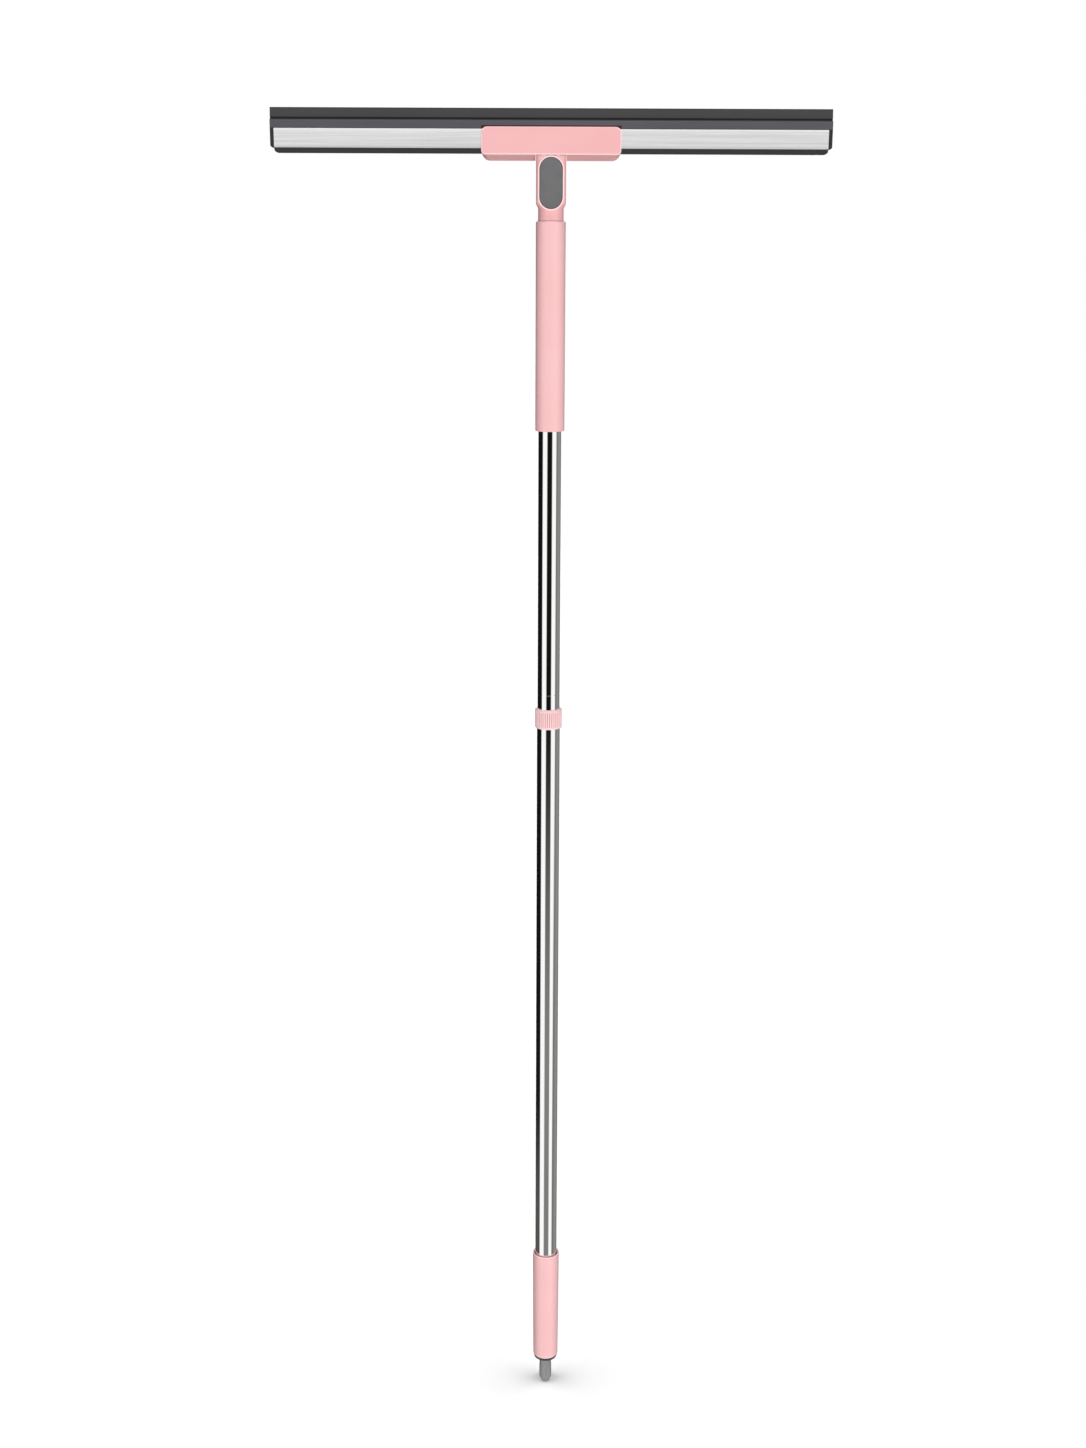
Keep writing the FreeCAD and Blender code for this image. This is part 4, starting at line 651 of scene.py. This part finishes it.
def makeBlade():
    low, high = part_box("squeegee_blade")
    foot = high.z - bladeSizes["lipFoot"]
    root, lip, edge = bladeSizes["root"] / 2, bladeSizes["lip"] / 2, bladeSizes["edge"] / 2
    straight = foot + bladeSizes["lipFoot"] * bladeSizes["straight"]
    bm = drawnOut(mirrored([(root, low.z), (root, foot), (lip, foot + bladeSizes["step"]),
                            (lip, straight), (edge, high.z)]), low.x, high.x)
    soften(bm, bladeSizes["lipRound"], 3, lambda middle, run: abs(run.x) > mostly and (
        same(middle.z, high.z) or same(middle.z, foot + bladeSizes["step"])))
    soften(bm, bladeSizes["cornerRound"], 5, lambda middle, run: (
        abs(run.y) > mostly and same(middle.z, high.z) and same(abs(middle.x), high.x)))
    finishPiece(bm, "bladeSkin", "squeegee_blade")


def makeCarrier():
    low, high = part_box("blade_carrier")
    half, taper = carrierSizes["half"], carrierSizes["taper"]
    groove = bladeSizes["root"] / 2 + fit
    floor = high.z - carrierSizes["grooveDepth"]
    seat, hook = channelHigh.z + fit, channelHigh.z - channelSizes["web"] - fit
    bm = drawnOut(mirrored([(half, seat), (half, high.z - taper), (half - taper, high.z),
                            (groove, high.z), (groove, floor)]), low.x, high.x)
    soften(bm, carrierSizes["round"], 3, lambda middle, run: (
        abs(run.x) > mostly and abs(middle.y - headMiddle) > (groove + half - taper) / 2))
    stem = drawnOut(mirrored([(carrierSizes["foot"], low.z), (carrierSizes["foot"], hook),
                              (carrierSizes["neck"], hook),
                              (carrierSizes["neck"], seat + carrierSizes["lap"])]),
                    channelLow.x, channelHigh.x)
    joinInto(bm, stem)
    finishPiece(bm, "carrierSkin", "blade_carrier")


def makeChannel():
    low, high = channelLow, channelHigh
    half = (high.y - low.y) / 2
    wall, web = channelSizes["wall"], channelSizes["web"]
    slot, cavity = half - wall - channelSizes["lip"], half - wall
    roof = low.z + web + channelSizes["lowerSlot"]
    floor = high.z - web - channelSizes["upperSlot"]
    side = [(-half, low.z), (-half, high.z), (-slot, high.z), (-slot, high.z - web),
            (-cavity, high.z - web), (-cavity, floor), (cavity, floor), (cavity, high.z - web),
            (slot, high.z - web), (slot, high.z), (half, high.z), (half, low.z), (slot, low.z),
            (slot, low.z + web), (cavity, low.z + web), (cavity, roof), (-cavity, roof),
            (-cavity, low.z + web), (-slot, low.z + web), (-slot, low.z)]
    bm = drawnOut([(headMiddle + depth, height) for depth, height in side], low.x, high.x)
    soften(bm, channelSizes["footRound"], 5, lambda middle, run: (
        abs(run.x) > mostly and same(middle.z, low.z) and same(abs(middle.y - headMiddle), half)))
    soften(bm, channelSizes["topRound"], 3, lambda middle, run: (
        abs(run.x) > mostly and same(middle.z, high.z) and same(abs(middle.y - headMiddle), half)))
    finishPiece(bm, "channelSkin", "blade_channel")


def makeTrim():
    low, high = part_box("lower_trim")
    half, seat = trimSizes["half"], channelLow.z - fit
    hook = channelLow.z + channelSizes["web"] + fit
    bm = drawnOut(mirrored([(0, low.z), (half, low.z), (half, seat), (0, seat)]), low.x, high.x)
    bmesh.ops.remove_doubles(bm, verts=bm.verts, dist=weld)
    soften(bm, trimSizes["corner"], 6, lambda middle, run: (
        abs(run.y) > mostly and same(middle.z, low.z) and same(abs(middle.x), high.x)))
    soften(bm, trimSizes["round"], 3, lambda middle, run: (
        abs(run.x) > mostly / 2 and same(abs(middle.y - headMiddle), half)
        and middle.z < seat - trimSizes["seatBand"]))
    stem = drawnOut(mirrored([(trimSizes["neck"], seat - trimSizes["lap"]),
                              (trimSizes["neck"], hook), (trimSizes["foot"], hook),
                              (trimSizes["foot"], high.z)]), low.x, high.x)
    joinInto(bm, stem)
    finishPiece(bm, "trimSkin", "lower_trim")


def makeEndCap(node, side):
    low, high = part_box(node)
    inner = side * (channelHigh.x + fit)
    outer = high.x if side > 0 else low.x
    bm = drawnOut([(low.y, channelLow.z), (low.y, channelHigh.z), (high.y, channelHigh.z),
                   (high.y, channelLow.z)], min(inner, outer), max(inner, outer))
    soften(bm, capPlate["corner"], 5, lambda middle, run: (
        abs(run.y) > mostly and same(middle.x, outer) and same(middle.z, channelLow.z)))
    soften(bm, capPlate["round"], 3, lambda middle, run: (
        same(abs(middle.y - headMiddle), (high.y - low.y) / 2) and not same(middle.x, inner)))
    finishPiece(bm, "endCapSkinRight" if side > 0 else "endCapSkinLeft", node)


makeBlade()
makeCarrier()
makeChannel()
makeTrim()
makeEndCap("end_cap_left", -1)
makeEndCap("end_cap_right", 1)

# bracket: a front cover with a ledge below the channel, and a housing behind
coverSizes = {"topCorner": 5.5 * mm, "faceFootCorner": 3.2 * mm, "backFootCorner": 7.5 * mm,
              "edge": 0.9 * mm, "plate": 1.95 * mm, "slope": 3.8 * mm, "slot": 14.21 * mm,
              "ledgeRound": 0.25 * mm, "stations": 4, "arc": 8}


def makeFrontCover():
    low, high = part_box("bracket_front_cover")
    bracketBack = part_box("bracket_rear_housing")[1].y
    slot, arc = coverSizes["slot"], coverSizes["arc"]
    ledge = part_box("lower_trim")[0].z - fit
    inner = low.y + coverSizes["plate"]
    # the face's lower edge is where the sloping underside starts
    faceFoot = low.z + coverSizes["slope"] * (high.y - low.y) / (bracketBack - low.y)

    # half of the underside at one depth: from the slot round the corner to the ledge's top
    def underside(depth):
        foot = faceFoot - coverSizes["slope"] * (depth - low.y) / (bracketBack - low.y)
        share = (depth - low.y) / (high.y - low.y)
        radius = coverSizes["faceFootCorner"] * (1 - share) + coverSizes["backFootCorner"] * share
        up = foot + radius
        rise = math.asin(max(-1, min(1, (ledge - up) / radius)))
        points = arcPoints(high.x - radius, up, radius, -math.pi / 2, rise, arc)
        return [(slot, foot)] + points, arcPoints(high.x - radius, up, radius, rise, 0, arc)[1:]

    def placed(bm, points, depth, side):
        return [bm.verts.new((side * across, depth, up)) for across, up in points]

    bm = bmesh.new()
    corner = coverSizes["topCorner"]
    top = arcPoints(high.x - corner, high.z - corner, corner, 0, math.pi / 2, arc)
    plate = {}
    for depth in (low.y, inner):
        under, above = underside(depth)
        for side in (-1, 1):
            plate[depth, side] = (placed(bm, under, depth, side),
                                  placed(bm, above + top, depth, side))
    for depth in (low.y, inner):
        leftUnder, leftAbove = plate[depth, -1]
        rightUnder, rightAbove = plate[depth, 1]
        if depth == low.y:
            loop = rightUnder + rightAbove + leftAbove[::-1] + leftUnder[::-1]
        else:
            sills = {side: bm.verts.new((side * slot, depth, ledge)) for side in (-1, 1)}
            loop = ([rightUnder[0], sills[1], rightUnder[-1]] + rightAbove + leftAbove[::-1]
                    + [leftUnder[-1], sills[-1], leftUnder[0]])
        bm.faces.new(loop)
    for side in (-1, 1):
        front = plate[low.y, side][0] + plate[low.y, side][1]
        back = plate[inner, side][0] + plate[inner, side][1]
        for step in range(len(front) - 1):
            bm.faces.new((front[step], front[step + 1], back[step + 1], back[step]))
    for step in (0, -1):
        ends = [plate[depth, side][0 if step == 0 else 1][step]
                for depth, side in ((low.y, -1), (low.y, 1), (inner, 1), (inner, -1))]
        bm.faces.new(ends)
    # the ledge runs back from the plate on both sides of the neck
    for side in (-1, 1):
        row = plate[inner, side][0] + [sills[side]]
        for station in range(1, coverSizes["stations"] + 1):
            depth = inner + (high.y - inner) * station / coverSizes["stations"]
            further = placed(bm, underside(depth)[0] + [(slot, ledge)], depth, side)
            for step in range(len(row)):
                bm.faces.new((row[step - 1], row[step], further[step], further[step - 1]))
            row = further
        bm.faces.new(row)
    bmesh.ops.recalc_face_normals(bm, faces=bm.faces)
    # the face's rounded edges carry a painted highlight
    soften(bm, coverSizes["edge"], 5, lambda middle, run: same(middle.y, low.y), paint=1)
    soften(bm, coverSizes["ledgeRound"], 2, lambda middle, run: (
        abs(run.z) > mostly and same(abs(middle.x), slot) and middle.y > inner))
    for face in bm.faces:      # the face's upper edge keeps the plain pink, with no painted highlight
        if face.calc_center_median().z > high.z - coverSizes["edge"]:
            face.material_index = 0
    finishPiece(bm, "frontCoverSkin", "bracket_front_cover", sharp=40, more=[paintedHighlight])


makeFrontCover()


copySizes = {"weld": 0.002 * mm, "flat": 1, "bezelDepth": 0.58 * mm}


# a merged copy of a CAD piece, with its edges rounded a little and a lighter part, a painted
# highlight, if one is given
def softCopy(node, name, width, segments=3, angle=38, bright=None):
    bm = bmesh.new()
    bm.from_mesh(frame["nodes"][node].data)
    bmesh.ops.remove_doubles(bm, verts=bm.verts, dist=copySizes["weld"])
    bmesh.ops.dissolve_limit(bm, angle_limit=math.radians(copySizes["flat"]), verts=bm.verts,
                             edges=bm.edges)
    for face in bm.faces:
        face.material_index = int(bool(bright and bright(face.calc_center_median())))
    piece = finishPiece(bm, name, node, sharp=angle, more=[paintedHighlight] if bright else [])
    piece.modifiers.clear()
    bevel = piece.modifiers.new("Edges", "BEVEL")
    bevel.width = width
    bevel.segments = segments
    bevel.limit_method = "ANGLE"
    bevel.angle_limit = math.radians(angle)
    bevel.use_clamp_overlap = True
    bevel.harden_normals = True
    return piece


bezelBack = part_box("neck_body")[0].y + copySizes["bezelDepth"]
# the bezel round the button carries a painted highlight
softCopy("neck_body", "neckSkin", 0.35 * mm, bright=lambda middle: middle.y < bezelBack)
softCopy("bracket_rear_housing", "rearHousingSkin", 0.6 * mm)
softCopy("neck_rear_cover", "rearCoverSkin", 0.2 * mm)

# the oval button, a little crowned
buttonSizes = {"crown": 0.28 * mm, "edge": 0.6 * mm, "segments": 64, "flange": 0.5 * mm,
               "skirtBack": -11.15 * mm, "level": 0.01 * mm}
# the crown in steps: how far each is drawn in from the last, and its share of the whole rise
crownSteps = [(2 * mm, 0.45), (2.4 * mm, 0.35), (2.6 * mm, 0.2)]


def makeButton():
    low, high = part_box("release_button")
    half = high.x - buttonSizes["flange"]
    straight = (high.z - low.z) / 2 - high.x
    bm = bmesh.new()
    ring = bmesh.ops.create_circle(bm, segments=buttonSizes["segments"], radius=half,
                                   cap_ends=True)["verts"]
    bmesh.ops.rotate(bm, verts=ring, cent=(0, 0, 0), matrix=Matrix.Rotation(math.pi / 2, 3, "X"))
    for vert in ring:
        if abs(vert.co.z) > buttonSizes["level"]:
            vert.co.z += math.copysign(straight, vert.co.z)
    front = low.y + buttonSizes["crown"]
    bmesh.ops.translate(bm, verts=ring, vec=(0, front, (low.z + high.z) / 2))
    made = bmesh.ops.extrude_face_region(bm, geom=bm.faces[:], use_keep_orig=True)
    moved = [item for item in made["geom"] if isinstance(item, bmesh.types.BMVert)]
    bmesh.ops.translate(bm, verts=moved, vec=(0, buttonSizes["skirtBack"] - front, 0))
    # the button's rounded edge is painted near black: painted shade in the gap round it
    soften(bm, buttonSizes["edge"], 5, lambda middle, run: same(middle.y, front), paint=1)
    bm.normal_update()
    face = [item for item in bm.faces
            if len(item.verts) > 8 and same(item.calc_center_median().y, front)]
    for inset, rise in crownSteps:
        bmesh.ops.inset_region(bm, faces=face, thickness=inset, depth=0)
        raised = -buttonSizes["crown"] * rise
        bmesh.ops.translate(bm, verts=list(face[0].verts), vec=(0, raised, 0))
    finishPiece(bm, "buttonSkin", "release_button", sharp=60, more=[flangeAndShadePaint])


makeButton()


# floor
floorLook = {"radius": 6, "sides": 96, "tone": (0.9, 0.9, 0.9, 1), "glow": 0.075}


def makeFloor():
    bm = bmesh.new()
    bmesh.ops.create_circle(bm, cap_ends=True, segments=floorLook["sides"],
                            radius=floorLook["radius"])
    bmesh.ops.translate(bm, verts=bm.verts, vec=(0, 0, cadBox[0].z))
    mesh = bpy.data.meshes.new("floor")
    bm.to_mesh(mesh)
    bm.free()
    floor = bpy.data.objects.new("floor", mesh)
    bpy.context.scene.collection.objects.link(floor)
    material, sheet = newMaterial("paleFloor")
    sheet.finish(Base_Color=floorLook["tone"], Roughness=1.0, Specular_IOR_Level=0.0,
                 Emission_Color=(1, 1, 1, 1), Emission_Strength=floorLook["glow"])
    mesh.materials.append(material)
    floor.visible_glossy = False
    floor.visible_diffuse = False
    floor.visible_shadow = False


makeFloor()

# light: a soft white surround, and dark cards that only polished metal shows
surround = {"seen": 1.0, "above": 0.10, "below": 0.40, "horizon": 0.1, "ring": (0.12, 0.30),
            "upperChange": (-0.43, -0.235), "lowerChange": (-0.50, -0.44)}
white = (1, 1, 1, 1)


def makeSurround():
    world = bpy.data.worlds.new("surround")
    bpy.context.scene.world = world
    world.use_nodes = True
    sheet = Sheet(world.node_tree)
    across, forward, rise = sheet.parts(sheet.add("TexCoord", {}, {}, "Generated"))
    # turn from straight ahead of the pole's front, positive to the right, as a share of a circle
    turn = sheet.add("Math", {"operation": "ARCTAN2"}, {0: across, 1: 0 - forward})
    turn = turn / math.tau + 0.5
    high, middle, low = [sheet.add("ValToRGB", {"stops": bandStops(*tones)}, {"Fac": turn})
                         for tones in cardTones]
    bands = sheet.blend(sheet.span(rise, *surround["upperChange"]), middle, high)
    bands = sheet.blend(sheet.span(rise, *surround["lowerChange"]), low, bands)
    bands = sheet.blend(sheet.span(rise, *surround["ring"]), bands, white[:3])
    horizon = surround["horizon"]
    glow = sheet.span(rise, -horizon, horizon, surround["below"], surround["above"])
    path = sheet.add("LightPath", {}, {}, "Is Glossy Ray")
    camera = Wire(sheet, path.socket.node.outputs["Is Camera Ray"])
    mirror = sheet.add("Background", {}, {"Color": bands, "Strength": 1.0})
    soft = sheet.add("Background", {}, {"Color": white, "Strength": glow})
    seen = sheet.add("Background", {}, {"Color": white, "Strength": surround["seen"]})
    lit = sheet.add("MixShader", {}, {0: path, 1: soft, 2: mirror})
    shown = sheet.add("MixShader", {}, {0: camera, 1: lit, 2: seen})
    sheet.add("OutputWorld", {}, {"Surface": shown})


# going down: the tones of the middle and left dark cards, and the turn where the right light ends
cardTones = [(0.006, 0.006, 71), (0.22, 0.008, 63), (0.21, 0.085, 62)]


# stops of tone against the turn, from degrees to the right of straight ahead
def bandStops(dark, left, edge):
    turns = [(-180, left), (-77, left), (-69, 1.0), (-29, 1.0), (-21, dark), (23, dark), (31, 1.0),
             (edge - 4, 1.0), (edge + 5, 0.15), (95, 0.24), (118, 0.27), (150, 0.18), (180, left)]
    return [((degrees + 180) / 360, tone) for degrees, tone in turns]


makeSurround()

# wide, even lamps; the two upright ones stand low, so that they throw no shadow on the floor
lamps = {
    "frontLamp": {"round": 8, "above": -18, "wide": 26, "power": 2.5},
    "backLamp": {"round": 172, "above": -18, "wide": 26, "power": 2.0},
    "overheadLeft": {"round": -90, "above": 72, "wide": 40, "power": 1.7},
    "overheadRight": {"round": 90, "above": 72, "wide": 40, "power": 1.6},
}
for name, lamp in lamps.items():
    data = bpy.data.lights.new(name, "SUN")
    data.angle = math.radians(lamp["wide"])
    data.energy = lamp["power"]
    made = bpy.data.objects.new(name, data)
    bpy.context.scene.collection.objects.link(made)
    turn, climb = math.radians(lamp["round"]), math.radians(lamp["above"])
    level = math.cos(climb)
    toLamp = Vector((math.sin(turn) * level, -math.cos(turn) * level, math.sin(climb)))
    made.rotation_euler = toLamp.to_track_quat("Z", "Y").to_euler()
    made.visible_glossy = False

# camera
cameraSetup = {"place": (-0.0053, -1.657, 1.1415), "down": 14.255, "roll": 0.232, "lens": 43.33,
               "sensor": 36, "clip": (0.05, 50)}
lens = bpy.data.cameras.new("camera")
lens.lens = cameraSetup["lens"]
lens.sensor_width = cameraSetup["sensor"]
lens.clip_start, lens.clip_end = cameraSetup["clip"]
camera = bpy.data.objects.new("camera", lens)
bpy.context.scene.collection.objects.link(camera)
tilt = Matrix.Rotation(math.radians(90 - cameraSetup["down"]), 4, "X")
spinRound = Matrix.Rotation(math.radians(cameraSetup["roll"]), 4, "Z")
camera.matrix_world = Matrix.Translation(cameraSetup["place"]) @ tilt @ spinRound
bpy.context.scene.camera = camera
bpy.context.scene.view_settings.view_transform = "Standard"
bpy.context.scene.view_settings.look = "None"
print("camera and light set")
